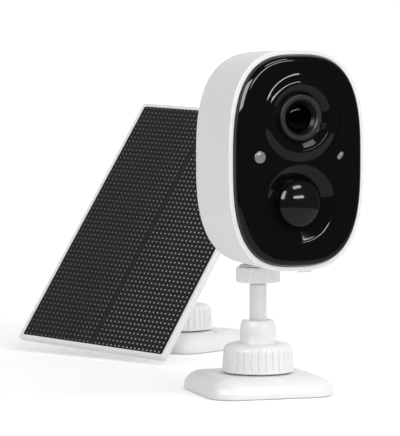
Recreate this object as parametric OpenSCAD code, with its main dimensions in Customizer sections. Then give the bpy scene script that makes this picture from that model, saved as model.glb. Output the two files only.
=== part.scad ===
// Solar-powered security camera: a battery camera head on a ball mount, and a
// small solar panel on a second, identical ball mount that stands behind it.
// Millimetres, +Z up, the lens looks along -Y, and the origin is the centre of
// the underside of the camera's foot.

/* [Camera head] */
// Width of the white housing at its front rim
head_w = 74.4; // [70:0.1:78]
// Height of the white housing at its front rim
head_h = 108.9; // [105:0.1:113]
// Exponent of the housing's rounded outline: 2 is an ellipse, larger is squarer
head_round = 2.9; // [2.6:0.1:3.3]
// Height of the middle of the camera face above the ground
head_z = 118.9; // [118:0.1:122]
// Distance from the post's axis forward to the front rim
rim_y = 43.4; // [42:0.1:46]
// Length of the straight side wall behind the front rim
side_depth = 35.4; // [34:0.1:37]
// Depth of the domed rear cover behind the seam
dome_depth = 24; // [22:0.5:28]
// Wall of the housing and of the rear cover
wall = 2.4; // [2:0.1:2.6]
// How far the black front cover stands in front of the rim
cover_proud = 3.7; // [3:0.1:4.5]

/* [Camera face] */
// Height of the lens axis above the middle of the face
lens_up = 21.3; // [21:0.1:22]
// Outer radius of the raised ring around the lens
lens_ring_r = 21.9; // [20:0.1:22]
// Radius of that ring's crest
crest_r = 16.4; // [15:0.1:18]
// How far the crest stands in front of the black cover
ring_proud = 1; // [0.4:0.1:2]
// Outer radius of the lens barrel
barrel_r = 11.3; // [10:0.1:12]
// Distance of the motion sensor's axis below the middle of the face
pir_down = 20.9; // [20:0.1:21.5]
// Radius of the dish around the motion sensor
pir_dish_r = 18.6; // [17:0.1:19]
// Radius of the motion sensor's dome
pir_r = 11.2; // [10:0.1:12]
// Sideways distance of the two small lamps from the middle of the face
lamp_x = 22; // [21:0.1:23]

/* [Ball mounts] */
// Side of the square foot
foot_side = 65; // [62:0.5:68]
// Height of the foot
foot_h = 10; // [9:0.5:10]
// Diameter of the circle that the two screw holes lie on
screw_circle = 45; // [44:0.5:46]
// Radius of the screw holes
screw_r = 2.1; // [1.8:0.1:2.4]
// Outer radius of the ribbed clamp collar at its lower edge
collar_r = 18.15; // [17.5:0.05:19]
// Number of grooves around the clamp collar
collar_grooves = 30; // [24:1:36]
// Radius of the ball on the post
ball_r = 7; // [6.8:0.1:7.1]
// Height of the ball's centre above the ground
ball_z = 30.5; // [30.3:0.1:31]
// Radius of the post
post_r = 4.35; // [4:0.05:4.5]
// Radius of the lock nut
nut_r = 11.2; // [10.5:0.1:12]

/* [Solar panel] */
// Width of the white panel frame
panel_w = 111; // [100:0.5:120]
// Height of the white panel frame
panel_h = 165; // [155:0.5:167]
// Thickness of the panel frame
panel_t = 4; // [3.5:0.1:4.5]
// Width of the frame's visible white border
border = 2.5; // [2:0.1:3]
// Distance from the post's axis up to the middle of the panel, along the panel
panel_up = 17; // [17:0.5:22]
// How far the panel leans back from upright, in degrees
panel_lean = 37.5; // [35:0.5:45]

/* [Placing] */
// Turn of the camera's foot under the head, in degrees
foot_turn = -8; // [-45:1:45]
// Sideways place of the panel's foot
panel_x = 51; // [30:1:100]
// Place of the panel's foot behind the camera's foot
panel_y = 205; // [195:1:260]
// Turn of the whole panel unit about the vertical, in degrees
panel_turn = -65; // [-90:1:-30]
// Roll of the panel about its own post, in degrees
panel_roll = -2.5; // [-5:0.5:5]

/* [Hidden] */
$fn = 64;
far = 200;             // longer than any piece, for cuts that run right through
white = "gainsboro";

// Heights and radii along one ball mount
pad_h = 1.4;           // rubber pad in the foot's underside
pad_gap = 0.4;         // the foot's edge stands this far above the ground
pad_inset = 5;
foot_corner = 12.5;    // corner radius of the foot seen from above
foot_fillet = 10;      // how far the foot's rounded shoulder reaches in
foot_wall_z = 2;       // height of the foot's short upright edge
neck_r = 13;           // threaded neck that the collar turns on
neck_top = 19.5;
seat_r = 6.8;
seat_floor = 13;
seat_top = 26.5;
socket_r = ball_r + 0.3;
cup_r = 9.05;
cup_top = 36.8;
cup_top_r = 7.1;
cup_chamfer_z = 30.6;
flange_r = 12.6;
flange_z = [20, 22];
ring_z = [22.3, 23.1];
collar_z = [10.8, 25];
collar_roof = 23.4;
collar_bore = 13.4;
slot_half = post_r + 0.45;
post_top = 55;
stud_r = 3.175;        // quarter-inch camera stud
stud_bore = 3.25;
nut_z = [55.9, 63.8];
nut_counterbore = 4.75;
nut_shelf = 60.3;
washer_z = [64.1, 64.7];
washer_r = 9.5;
joint_face_z = 65;     // face of the threaded inserts that the washer bears on

// Depths through the camera head, measured along Y
seam_y = -rim_y + side_depth;
face_y = -rim_y - cover_proud;
ledge_y = -rim_y + 4.4;
draft_w = 1;           // the side walls draw in by this much towards the seam
draft_h = 2.4;
cover_w = head_w - 2 * wall - 0.3;
cover_h = head_h - 2 * wall - 0.3;
bevel = 3.2;           // width of the front cover's rounded edge
gasket_t = 0.8;
board_y = [-38.6, -37.2];
chassis_y = [-36.2, -34.2];
boss_x = 25;           // places of the four long screw bosses
boss_up = 33;
boss_r = 3.4;
screw_shank = 1.2;
boss_pilot = 1.25;
lens_z = head_z + lens_up;
pir_z = head_z - pir_down;
ring_seat = 1.4;        // depth of the flat seat that the lens ring lies in
pir_dish_depth = 4;
barrel_front = face_y - 0.9;
lamp_z = head_z + 2.3;
mount_boss_r = 7.8;
insert_r = 5;
insert_top = 76;
port_x = [-4.5, 13.5]; // rubber port cover in the housing's underside
port_y = [-37, -26];
port_z = [65.1, 66.7];
port_hinge_y = -26.5;
cell_r = 9.1;
cell_len = 65;
cell_x = 9.6;
cell_y = -13.5;
tray_z = [86, 155.5];

// Places on the solar panel, measured in the frame of its upright post
panel_front_z = joint_face_z + 10.5;
panel_back_z = panel_front_z - panel_t;
pocket_z = panel_back_z + 1.5;
box_w = 64;
box_h = 44;
box_screw = [26, 16];

// ---- Shared shapes ---------------------------------------------------------

// Points of a rounded outline, |x/a|^n + |z/b|^n = 1, counter-clockwise
function outline(w, h, n = head_round, count = 72) = [
    for (i = [0 : count - 1])
        let (a = 360 * i / count, c = cos(a), s = sin(a))
        [w / 2 * sign(c) * pow(abs(c), 2 / n), h / 2 * sign(s) * pow(abs(s), 2 / n)]
];

// Points of a square with round corners, counter-clockwise
function soft_square(side, r, steps = 8) = [
    for (corner = [0 : 3], i = [0 : steps])
        let (a = 90 * corner + 90 * i / steps, m = side / 2 - r,
             sx = (corner == 0 || corner == 3) ? 1 : -1, sy = corner < 2 ? 1 : -1)
        [sx * m + r * cos(a), sy * m + r * sin(a)]
];

// Closed skin through rings of equal length, each wound counter-clockwise when
// it is seen from the side of the first ring
module skin(rings) {
    n = len(rings[0]);
    m = len(rings);
    sides = [
        for (k = [0 : m - 2], i = [0 : n - 1])
            let (j = (i + 1) % n, a = k * n + i, b = a + n, c = (k + 1) * n + j, d = k * n + j)
            each [[a, d, c], [a, c, b]]
    ];
    polyhedron(
        points = [for (ring = rings) each ring],
        faces = concat(
            sides,
            [[for (i = [n - 1 : -1 : 0]) i]],
            [[for (i = [0 : n - 1]) (m - 1) * n + i]]
        )
    );
}

// One ring of the camera head at depth y
function head_ring(w, h, y) = [for (p = outline(w, h)) [p[0], y, head_z + p[1]]];

// Solid with the head's outline between depths y0 and y1
module head_plug(w, h, y0, y1) {
    translate([0, y1, head_z])
        rotate([90, 0, 0])
            linear_extrude(y1 - y0)
                polygon(outline(w, h));
}

// Solid cylinder along Y between two depths
module along_y(r, y0, y1, x = 0, z = head_z, r_back = -1) {
    translate([x, y0, z])
        rotate([-90, 0, 0])
            cylinder(h = y1 - y0, r1 = r, r2 = r_back < 0 ? r : r_back);
}

// Solid of revolution about an axis along Y; profile points are [radius, y]
module turned_y(profile, z = head_z, x = 0) {
    translate([x, 0, z])
        rotate([-90, 0, 0])
            rotate_extrude()
                polygon(profile);
}

module round_plate(w, h, r, z0, z1) {
    translate([0, 0, z0])
        linear_extrude(z1 - z0)
            union() {
                square([w - 2 * r, h], center = true);
                square([w, h - 2 * r], center = true);
                for (sx = [-1, 1], sy = [-1, 1])
                    translate([sx * (w / 2 - r), sy * (h / 2 - r)])
                        circle(r);
            }
}

module tube(r_out, r_in, z0, z1) {
    translate([0, 0, z0])
        difference() {
            cylinder(h = z1 - z0, r = r_out);
            translate([0, 0, -1])
                cylinder(h = z1 - z0 + 2, r = r_in);
        }
}

// ---- Placing ---------------------------------------------------------------

module at_camera_foot() {
    rotate([0, 0, foot_turn])
        children();
}

// The camera's cup opens to the rear
module at_camera_cup() {
    rotate([0, 0, 180])
        children();
}

module at_panel_foot() {
    translate([panel_x, panel_y, 0])
        rotate([0, 0, panel_turn])
            children();
}

// Tips what is on the panel's post forward about the ball's centre
module at_panel_post() {
    at_panel_foot()
        translate([0, 0, ball_z])
            rotate([90 - panel_lean, 0, 0])
                translate([0, 0, -ball_z])
                    children();
}

module at_panel() {
    at_panel_post()
        rotate([0, 0, panel_roll])
            children();
}

// ---- The ball mount, used twice --------------------------------------------

module foot_holes(r) {
    for (s = [-1, 1])
        translate([s * screw_circle / 2, 0, -1])
            cylinder(h = foot_h + 2, r = r);
}

module mount_foot() {
    steps = 6;
    rings = [
        for (i = [0 : steps])
            let (a = 90 * i / steps, inset = foot_fillet * (1 - sin(a)),
                 z = foot_wall_z + (foot_h - foot_wall_z) * cos(a))
            [for (p = soft_square(foot_side - 2 * inset, foot_corner - inset)) [p[0], p[1], z]]
    ];
    base = [[for (p = soft_square(foot_side, foot_corner)) [p[0], p[1], pad_gap]]];
    difference() {
        union() {
            skin(concat(rings, base));
            translate([0, 0, foot_h - 1])
                cylinder(h = neck_top - foot_h + 1, r = neck_r);
        }
        translate([0, 0, seat_floor])
            cylinder(h = far, r = seat_r + 0.1);
        round_plate(foot_side - 2 * pad_inset, foot_side - 2 * pad_inset, 8, -1, pad_h);
        foot_holes(screw_r);
    }
}

module foot_pad() {
    side = foot_side - 2 * pad_inset - 0.4;
    difference() {
        round_plate(side, side, 7.8, 0, pad_h);
        foot_holes(screw_r + 0.9);
    }
}

module ball_seat() {
    difference() {
        translate([0, 0, seat_floor])
            cylinder(h = seat_top - seat_floor, r = seat_r);
        translate([0, 0, ball_z])
            sphere(socket_r);
        translate([0, 0, seat_floor - 1])
            cylinder(h = far, r = 2);
    }
}

// The dome over the ball, with a slot on its -Y side for the post to tip into
module ball_cup() {
    hole_r = 5.25;
    difference() {
        rotate_extrude()
            polygon([
                [0, flange_z[0]], [flange_r, flange_z[0]], [flange_r, flange_z[1]],
                [cup_r, flange_z[1]], [cup_r, cup_chamfer_z],
                for (a = [15 : 15 : 75])
                    [cup_top_r + (cup_r - cup_top_r) * cos(a),
                     cup_chamfer_z + (cup_top - cup_chamfer_z) * sin(a)],
                [cup_top_r, cup_top], [0, cup_top]
            ]);
        translate([0, 0, ball_z])
            sphere(socket_r);
        translate([0, 0, flange_z[0] - 1])
            cylinder(h = ball_z - flange_z[0] + 1, r = socket_r);
        translate([0, 0, ball_z])
            cylinder(h = far, r = hole_r);
        translate([0, 0, ball_z])
            rotate([90, 0, 0])
                cylinder(h = far, r = slot_half);
        translate([-slot_half, -far, ball_z])
            cube([2 * slot_half, far, far]);
    }
}

module slip_ring() {
    tube(12.4, 9.5, ring_z[0], ring_z[1]);
}

module clamp_collar() {
    shoulder = 4;
    top_r = collar_r - 0.65;
    groove_r = 0.95;
    difference() {
        rotate_extrude()
            polygon([
                [collar_bore, collar_z[0]], [collar_r, collar_z[0]],
                for (a = [0 : 15 : 90])
                    [top_r - shoulder + shoulder * cos(a),
                     collar_z[1] - shoulder + shoulder * sin(a)],
                [cup_r + 0.4, collar_z[1]], [cup_r + 0.4, collar_roof],
                [collar_bore, collar_roof]
            ]);
        for (i = [0 : collar_grooves - 1])
            rotate([0, 0, 360 * i / collar_grooves])
                translate([collar_r + groove_r - 0.75, 0, collar_z[0] + 0.8])
                    rotate([0, -2.6, 0])
                        cylinder(h = far, r = groove_r, $fn = 16);
    }
}

module ball_stem(stud_top) {
    translate([0, 0, ball_z])
        sphere(ball_r);
    translate([0, 0, ball_z])
        cylinder(h = post_top - ball_z, r = post_r);
    translate([0, 0, post_top - 1])
        cylinder(h = stud_top - post_top + 1, r = stud_r);
}

module stem_washer() {
    tube(washer_r, stud_bore, washer_z[0], washer_z[1]);
}

module lock_nut() {
    edge = 1.4;
    grip = 24;
    difference() {
        rotate_extrude()
            polygon([
                [stud_bore, nut_shelf], [nut_counterbore, nut_shelf],
                [nut_counterbore, nut_z[0]], [nut_r - 0.4, nut_z[0]], [nut_r, nut_z[0] + 0.4],
                for (a = [0 : 22.5 : 90])
                    [nut_r - edge + edge * cos(a), nut_z[1] - edge + edge * sin(a)],
                [stud_bore, nut_z[1]]
            ]);
        for (i = [0 : grip - 1])
            rotate([0, 0, 360 * (i + 0.5) / grip])
                translate([nut_r + 0.35, 0, nut_z[0] - 1])
                    cylinder(h = far, r = 0.6, $fn = 16);
    }
}

module camera_foot() { color(white) at_camera_foot() mount_foot(); }
module camera_foot_pad() { color("dimgray") at_camera_foot() foot_pad(); }
module camera_ball_seat() { color("silver") at_camera_foot() ball_seat(); }
module camera_ball_cup() { color(white) at_camera_cup() ball_cup(); }
module camera_slip_ring() { color("silver") slip_ring(); }
module camera_clamp_collar() { color(white) clamp_collar(); }
module camera_ball_stem() { color("lightgray") ball_stem(74); }
module camera_washer() { color("dimgray") stem_washer(); }
module camera_lock_nut() { color(white) lock_nut(); }

module panel_foot() { color(white) at_panel_foot() mount_foot(); }
module panel_foot_pad() { color("dimgray") at_panel_foot() foot_pad(); }
module panel_ball_seat() { color("silver") at_panel_foot() ball_seat(); }
module panel_ball_cup() { color(white) at_panel_foot() ball_cup(); }
module panel_slip_ring() { color("silver") at_panel_foot() slip_ring(); }
module panel_clamp_collar() { color(white) at_panel_foot() clamp_collar(); }
module panel_ball_stem() { color("lightgray") at_panel_post() ball_stem(panel_back_z - 0.5); }
module panel_washer() { color("dimgray") at_panel_post() stem_washer(); }
module panel_lock_nut() { color(white) at_panel_post() lock_nut(); }

// ---- Camera head: casing ---------------------------------------------------

module port_block(grow, z0, z1) {
    translate([port_x[0] - grow, port_y[0] - grow, z0])
        cube([port_x[1] - port_x[0] + 2 * grow, port_y[1] - port_y[0] + 2 * grow, z1 - z0]);
}

module shell_outside() {
    skin([
        head_ring(head_w - 0.8, head_h - 0.8, -rim_y),
        head_ring(head_w, head_h, -rim_y + 0.6),
        head_ring(head_w - draft_w, head_h - draft_h, seam_y)
    ]);
}

module housing_shell() {
    inner_w = head_w - 2 * wall;
    inner_h = head_h - 2 * wall;
    color(white)
        difference() {
            union() {
                difference() {
                    shell_outside();
                    head_plug(inner_w, inner_h, -rim_y - 1, ledge_y);
                    head_plug(inner_w - 5.6, inner_h - 5.6, ledge_y - 1, ledge_y + 3);
                    skin([
                        head_ring(inner_w - 0.4, inner_h - 0.6, ledge_y + 2.4),
                        head_ring(inner_w - draft_w, inner_h - draft_h, seam_y + 1)
                    ]);
                }
                intersection() {
                    shell_outside();
                    port_block(1.8, 60, 69.6);
                }
            }
            port_block(0.4, 50, port_z[1] + 0.3);
            translate([0, 0.6, 0])
                port_block(0.3, 50, port_z[1] + 0.3);
            translate([-3, -35.6, 50])
                cube([15.2, 8.2, 20]);
            for (i = [0 : 4])
                translate([-16.5 + 2.2 * i, -24, 50])
                    cylinder(h = 24, r = 0.7, $fn = 16);
        }
}

module rear_cover() {
    steps = 8;
    w = head_w - draft_w;
    h = head_h - draft_h;
    function dome(w, h, depth) = [
        for (i = [0 : steps])
            let (a = 90 * i / steps, s = pow(max(cos(a), 0.02), 0.8), t = pow(sin(a), 0.8))
            head_ring(w * s, h * s, seam_y + depth * t)
    ];
    color(white)
        difference() {
            union() {
                difference() {
                    union() {
                        skin(dome(w, h, dome_depth));
                        head_plug(w - 2 * wall - 0.2, h - 2 * wall - 0.2, seam_y - 3.4, seam_y + 0.5);
                    }
                    skin(dome(w - 2 * wall - 3, h - 2 * wall - 3, dome_depth - wall));
                    head_plug(w - 2 * wall - 3, h - 2 * wall - 3, seam_y - 4, seam_y + 0.01);
                }
                translate([0, 0, joint_face_z])
                    cylinder(h = insert_top + 2 - joint_face_z, r = mount_boss_r);
                for (sx = [-1, 1], sz = [-1, 1])
                    along_y(boss_r, chassis_y[1], seam_y + 10, sx * boss_x, head_z + sz * boss_up);
            }
            translate([0, 0, joint_face_z - 1])
                cylinder(h = insert_top - joint_face_z + 1, r = insert_r);
            for (sx = [-1, 1], sz = [-1, 1])
                along_y(boss_pilot, chassis_y[1] - 1, chassis_y[1] + 12, sx * boss_x,
                    head_z + sz * boss_up);
        }
}

module seam_gasket() {
    w = head_w - draft_w - 2 * wall;
    h = head_h - draft_h - 2 * wall;
    color("dimgray")
        difference() {
            head_plug(w - 0.2, h - 0.2, seam_y - 4.4, seam_y - 3.4);
            head_plug(w - 3, h - 3, seam_y - 5, seam_y - 3);
        }
}

module thread_insert() {
    color("goldenrod")
        tube(insert_r, stud_bore, joint_face_z, insert_top);
}

module front_cover() {
    steps = 4;
    rear = ledge_y - gasket_t;
    rim_step = 0.5;
    rings = [
        for (i = [0 : steps])
            let (a = 90 * i / steps, inset = bevel * (1 - sin(a)), y = face_y + cover_proud * (1 - cos(a)))
            head_ring(cover_w - 2 * inset, cover_h - 2 * inset, y)
    ];
    color([0.05, 0.05, 0.06])
        difference() {
            skin(concat(rings, [head_ring(cover_w, cover_h, rear)]));
            difference() {
                head_plug(cover_w - 4, cover_h - 4, face_y + 5, rear + 1);
                along_y(pir_dish_r, face_y, face_y + pir_dish_depth + 1.4, 0, pir_z);
            }
            // Shallow seat of the raised lens ring, and the barrel's hole
            along_y(lens_ring_r + 0.3, face_y - 1, face_y + ring_seat, 0, lens_z);
            along_y(barrel_r + 0.1, face_y, far, 0, lens_z);
            // Conical dish of the motion sensor, and the dome's hole
            along_y(pir_dish_r, face_y - 1, face_y, 0, pir_z);
            along_y(pir_dish_r, face_y, face_y + pir_dish_depth, 0, pir_z, pir_r + 0.3);
            along_y(pir_r + 0.15, face_y, far, 0, pir_z);
            // Windows of the two small lamps
            along_y(3.1, face_y - 1, face_y + rim_step, -lamp_x, lamp_z);
            along_y(2.7, face_y - 1, far, -lamp_x, lamp_z);
            status_window(0.1, face_y - 1, far);
        }
}

// Ring that rises around the lens: a long outer slope, a rounded crest and a
// cone that leads in to the barrel
module lens_ring() {
    color([0.05, 0.05, 0.06])
        turned_y([
            [barrel_r + 0.15, face_y + ring_seat], [lens_ring_r, face_y + ring_seat],
            [lens_ring_r, face_y + ring_seat - 0.3], [crest_r + 0.8, face_y - ring_proud],
            [crest_r, face_y - ring_proud - 0.1], [crest_r - 0.7, face_y - ring_proud + 0.2],
            [barrel_r + 0.5, face_y + ring_seat - 0.1], [barrel_r + 0.15, face_y + ring_seat - 0.1]
        ], lens_z);
}

module cover_gasket() {
    color("dimgray")
        difference() {
            head_plug(cover_w, cover_h, ledge_y - gasket_t, ledge_y);
            head_plug(cover_w - 3.6, cover_h - 3.6, ledge_y - 2, ledge_y + 1);
        }
}

// ---- Camera head: optics and sensors ---------------------------------------

module lens_barrel() {
    front = barrel_front;
    color([0.12, 0.12, 0.13])
        turned_y([
            [5, -32], [9, -32], [9, -41.4], [barrel_r, -41.4],
            [barrel_r, front + 0.5], [barrel_r - 0.5, front], [9.2, front],
            [8.5, front + 0.8], [8.5, -43.6], [6.2, -43.6], [6.2, -41.8], [5, -40]
        ], lens_z);
}

// Ring in the barrel's mouth: a thin lip and a cone that leads in to the glass
module lens_trim_ring() {
    front = barrel_front + 0.9;
    color("silver")
        turned_y([
            [6.5, -43.6], [8.4, -43.6], [8.4, front + 0.2], [8.2, front], [7.9, front], [6.5, front + 1.5]
        ], lens_z);
}

module lens_glass() {
    crown = 1.4;
    color([0.1, 0.1, 0.15, 0.8])
        turned_y(concat(
            [[0, -43.6], [6.4, -43.6]],
            [for (a = [90 : -15 : 0]) [6.4 * sin(a), -44.6 - crown * cos(a)]]
        ), lens_z);
}

module image_sensor() {
    color("black")
        translate([-7, -31.8, lens_z - 7])
            cube([14, 2, 14]);
}

// Shallow cap with a straight skirt that a flange holds behind the cover
module pir_dome() {
    cap_angle = 40;
    cap_r = pir_r / sin(cap_angle);
    cap_y = face_y + pir_dish_depth - cap_r * (1 - cos(cap_angle)) - 0.05;
    centre_y = cap_y + cap_r * cos(cap_angle);
    flange_y = face_y + pir_dish_depth + 1.4;
    thick = 1;
    color([0.15, 0.15, 0.16, 0.95])
        turned_y(concat(
            [[pir_r + 1.8, flange_y + 0.8], [pir_r + 1.8, flange_y], [pir_r, flange_y]],
            [for (i = [0 : 6]) let (a = cap_angle * (1 - i / 6)) [cap_r * sin(a), centre_y - cap_r * cos(a)]],
            [for (i = [0 : 6]) let (a = cap_angle * i / 6)
                [(cap_r - thick) * sin(a), centre_y - (cap_r - thick) * cos(a)]],
            [[(cap_r - thick) * sin(cap_angle), flange_y + 0.8]]
        ), pir_z);
}

module pir_sensor() {
    color("silver")
        union() {
            along_y(4.6, -45, board_y[0], 0, pir_z);
            along_y(5.2, -39.4, board_y[0], 0, pir_z);
        }
}

module light_sensor() {
    color([0.85, 0.87, 0.9])
        turned_y([
            [0, board_y[0]], [2.6, board_y[0]], [2.6, face_y + 0.5], [3, face_y + 0.5],
            for (a = [0 : 15 : 90]) [3 * cos(a), face_y + 0.1 - 0.8 * sin(a)]
        ], lamp_z, -lamp_x);
}

// Slot with round ends, tilted; its straight part is a hair lower than the ends
module status_window(grow, y0, y1) {
    r = 1.15 + grow;
    half = 1.05;
    waist = r - 0.03;
    translate([lamp_x, 0, lamp_z])
        rotate([0, -50, 0])
            union() {
                for (s = [-1, 1])
                    along_y(r, y0, y1, half * s, 0);
                translate([-half, y0, -waist])
                    cube([2 * half, y1 - y0, 2 * waist]);
            }
}

module status_light() {
    color([0.8, 0.8, 0.8])
        status_window(0, face_y - 0.1, board_y[0]);
}

module sensor_board() {
    color("darkgreen")
        difference() {
            head_plug(60, 94, board_y[0], board_y[1]);
            along_y(9.3, -60, 0, 0, lens_z);
        }
}

module infrared_leds() {
    color("lightgray")
        for (a = [-60, 60, 120, 240])
            along_y(1.5, -42, board_y[0], 14 * sin(a), lens_z + 14 * cos(a));
}

module microphone() {
    color("gold")
        translate([11, -39.8, pir_z - 20])
            cube([4, 1.2, 3]);
}

// ---- Camera head: inside ---------------------------------------------------

module chassis() {
    color("slategray")
        difference() {
            union() {
                head_plug(66, 100, chassis_y[0], chassis_y[1]);
                for (sx = [-1, 1], sz = [-1, 1])
                    along_y(2.4, board_y[1], chassis_y[0] + 1, sx * 17, head_z + sz * 40);
            }
            along_y(9.3, -60, 0, 0, lens_z);
            for (sx = [-1, 1], sz = [-1, 1])
                along_y(screw_shank + 0.2, -60, 0, sx * boss_x, head_z + sz * boss_up);
            translate([-6.7, -60, 55])
                cube([22.4, 60, 23]);
        }
}

module chassis_screws() {
    color("silver")
        for (sx = [-1, 1], sz = [-1, 1]) {
            along_y(screw_shank, chassis_y[0] - 0.2, chassis_y[1] + 9, sx * boss_x, head_z + sz * boss_up);
            along_y(2.5, chassis_y[0] - 0.9, chassis_y[0], sx * boss_x, head_z + sz * boss_up);
        }
}

module main_board() {
    chips = [[-8, 108, 14], [9, 122, 10], [-6, 92, 8]];
    color("darkgreen")
        translate([-21, -27, head_z - 42])
            cube([42, 1.6, 84]);
    color("black")
        for (chip = chips)
            translate([chip[0] - chip[2] / 2, -28.2, chip[1] - chip[2] / 2])
                cube([chip[2], 1.2, chip[2]]);
}

module battery_cells() {
    color("steelblue")
        for (s = [-1, 1])
            translate([s * cell_x, cell_y, tray_z[0] + 2.2])
                union() {
                    cylinder(h = cell_len, r = cell_r);
                    cylinder(h = cell_len + 1, r = 3);
                }
}

module battery_tray() {
    color("slategray")
        difference() {
            translate([-20.5, -25.4, tray_z[0]])
                cube([41, 12, tray_z[1] - tray_z[0]]);
            for (s = [-1, 1])
                translate([s * cell_x, cell_y, tray_z[0] + 2])
                    cylinder(h = cell_len + 1.5, r = cell_r + 0.1);
            translate([-3, -20, tray_z[0] + 2])
                cube([6, far, cell_len + 1.5]);
        }
}

module speaker() {
    color("dimgray")
        translate([-12.5, -24, 72.9])
            union() {
                cylinder(h = 2, r = 8.4);
                translate([0, 0, 1.5])
                    cylinder(h = 2.4, r = 6);
            }
}

module antenna() {
    color("orange")
        translate([-15, -24, 166.4])
            cube([30, 10.8, 0.8]);
}

module usb_socket() {
    color("silver")
        translate([3, -33.8, 67.4])
            difference() {
                cube([9, 3.3, 7.4]);
                translate([0.4, 0.4, -1])
                    cube([8.2, 2.5, 6.4]);
                translate([8.9, -1, 6])
                    cube([1, 5, 2]);
            }
}

module card_socket() {
    color("lightgray")
        translate([0.5, -29.9, 67.4])
            difference() {
                cube([11.4, 1.7, 8.6]);
                translate([0.3, 0.4, -1])
                    cube([10.8, 0.9, 8]);
            }
}

module reset_button() {
    color("dimgray")
        translate([-0.6, -33, 67.3])
            union() {
                cylinder(h = 2.6, r = 1.4);
                translate([0, 0, 1.4])
                    cylinder(h = 1.2, r = 1.8);
            }
}

module port_cover() {
    tab_x = [4, 11.5];
    color("whitesmoke") {
        port_block(0, port_z[0], port_z[1]);
        translate([tab_x[0], port_y[0], port_z[0] - 1.9])
            cube([tab_x[1] - tab_x[0], 2, 2]);
    }
}

// ---- Solar panel -----------------------------------------------------------

// Moves from the post's axis to the middle of the panel
module panel_middle() {
    translate([0, panel_up, 0])
        children();
}

module panel_frame() {
    inner_w = panel_w - 2 * border + 0.4;
    inner_h = panel_h - 2 * border + 0.4;
    color(white)
        at_panel() panel_middle()
            difference() {
                round_plate(panel_w, panel_h, 1.5, panel_back_z, panel_front_z);
                round_plate(inner_w, inner_h, 1, pocket_z, panel_front_z + 1);
                round_plate(inner_w - 12, inner_h - 12, 3, panel_back_z - 1, panel_front_z + 1);
            }
}

module panel_back_plate() {
    inner_w = panel_w - 2 * border + 0.4;
    inner_h = panel_h - 2 * border + 0.4;
    color(white)
        at_panel()
            difference() {
                panel_middle()
                    round_plate(inner_w - 12.4, inner_h - 12.4, 2.8, panel_back_z, pocket_z);
                for (sx = [-1, 1], sy = [-1, 1])
                    translate([sx * box_screw[0], sy * box_screw[1], 0])
                        cylinder(h = far, r = 1.05);
            }
}

module solar_cells() {
    color([0.06, 0.06, 0.08])
        at_panel() panel_middle()
            round_plate(panel_w - 2 * border, panel_h - 2 * border, 0.8, pocket_z, panel_front_z - 0.5);
}

module panel_front_sheet() {
    color([0.2, 0.2, 0.25, 0.4])
        at_panel() panel_middle()
            round_plate(panel_w - 2 * border, panel_h - 2 * border, 0.8,
                panel_front_z - 0.5, panel_front_z - 0.1);
}

module junction_box() {
    floor_t = 1.6;
    color(white)
        at_panel()
            difference() {
                union() {
                    difference() {
                        round_plate(box_w, box_h, 6, joint_face_z, panel_back_z);
                        round_plate(box_w - 4, box_h - 4, 4, joint_face_z + floor_t, panel_back_z + 1);
                    }
                    translate([0, 0, joint_face_z])
                        cylinder(h = panel_back_z - joint_face_z, r = 7.6);
                    for (sx = [-1, 1], sy = [-1, 1])
                        translate([sx * box_screw[0], sy * box_screw[1], joint_face_z])
                            cylinder(h = panel_back_z - joint_face_z, r = 2.8);
                }
                translate([0, 0, joint_face_z - 1])
                    cylinder(h = far, r = insert_r);
                for (sx = [-1, 1], sy = [-1, 1])
                    translate([sx * box_screw[0], sy * box_screw[1], 0]) {
                        cylinder(h = far, r = 1.2);
                        cylinder(h = joint_face_z + 1.4, r = 2.2);
                    }
                translate([0, -box_h / 2 + 3, joint_face_z + 3.2])
                    rotate([90, 0, 0])
                        cylinder(h = far, r = 2.5);
            }
}

module charge_board() {
    color("darkgreen")
        at_panel()
            translate([10, -12, joint_face_z + 2.4])
                union() {
                    cube([12, 24, 1.2]);
                    translate([3, 6, 1.2])
                        cube([6, 8, 1.6]);
                }
}

module cable_gland() {
    start = box_h / 2 - 2;
    color("dimgray")
        at_panel()
            translate([0, -start, joint_face_z + 3.2])
                rotate([90, 0, 0])
                    rotate_extrude()
                        polygon([
                            [1.6, 0], [2.45, 0], [2.45, 2.1], [3.1, 2.1], [3.1, 3.5],
                            [2.3, 9], [1.6, 9]
                        ]);
}

module panel_thread_insert() {
    color("goldenrod")
        at_panel()
            tube(insert_r, stud_bore, joint_face_z, panel_back_z);
}

module panel_screws() {
    color("silver")
        at_panel()
            for (sx = [-1, 1], sy = [-1, 1])
                translate([sx * box_screw[0], sy * box_screw[1], joint_face_z + 0.2]) {
                    cylinder(h = 1.2, r = 2);
                    translate([0, 0, 1])
                        cylinder(h = panel_t + 2.8, r = 1);
                }
}

// ---- Drawing ---------------------------------------------------------------

camera_foot();
camera_foot_pad();
camera_ball_seat();
camera_ball_cup();
camera_slip_ring();
camera_clamp_collar();
camera_ball_stem();
camera_washer();
camera_lock_nut();
housing_shell();
rear_cover();
seam_gasket();
thread_insert();
front_cover();
lens_ring();
cover_gasket();
lens_barrel();
lens_trim_ring();
lens_glass();
image_sensor();
pir_dome();
pir_sensor();
light_sensor();
status_light();
sensor_board();
infrared_leds();
microphone();
chassis();
chassis_screws();
main_board();
battery_cells();
battery_tray();
speaker();
antenna();
usb_socket();
card_socket();
reset_button();
port_cover();
panel_foot();
panel_foot_pad();
panel_ball_seat();
panel_ball_cup();
panel_slip_ring();
panel_clamp_collar();
panel_ball_stem();
panel_washer();
panel_lock_nut();
panel_frame();
panel_back_plate();
solar_cells();
panel_front_sheet();
junction_box();
charge_board();
cable_gland();
panel_thread_insert();
panel_screws();
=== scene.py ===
"""Looks of a solar-powered security camera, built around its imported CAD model.

The camera head stands on a ball mount, and a small solar panel stands behind it
on a second, identical ball mount. Lengths are in metres in the CAD model's own
frame: +Z is up, the lens looks along -Y, and the origin is the centre of the
underside of the camera's foot. Each class below is one sub-assembly.
"""

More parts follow.
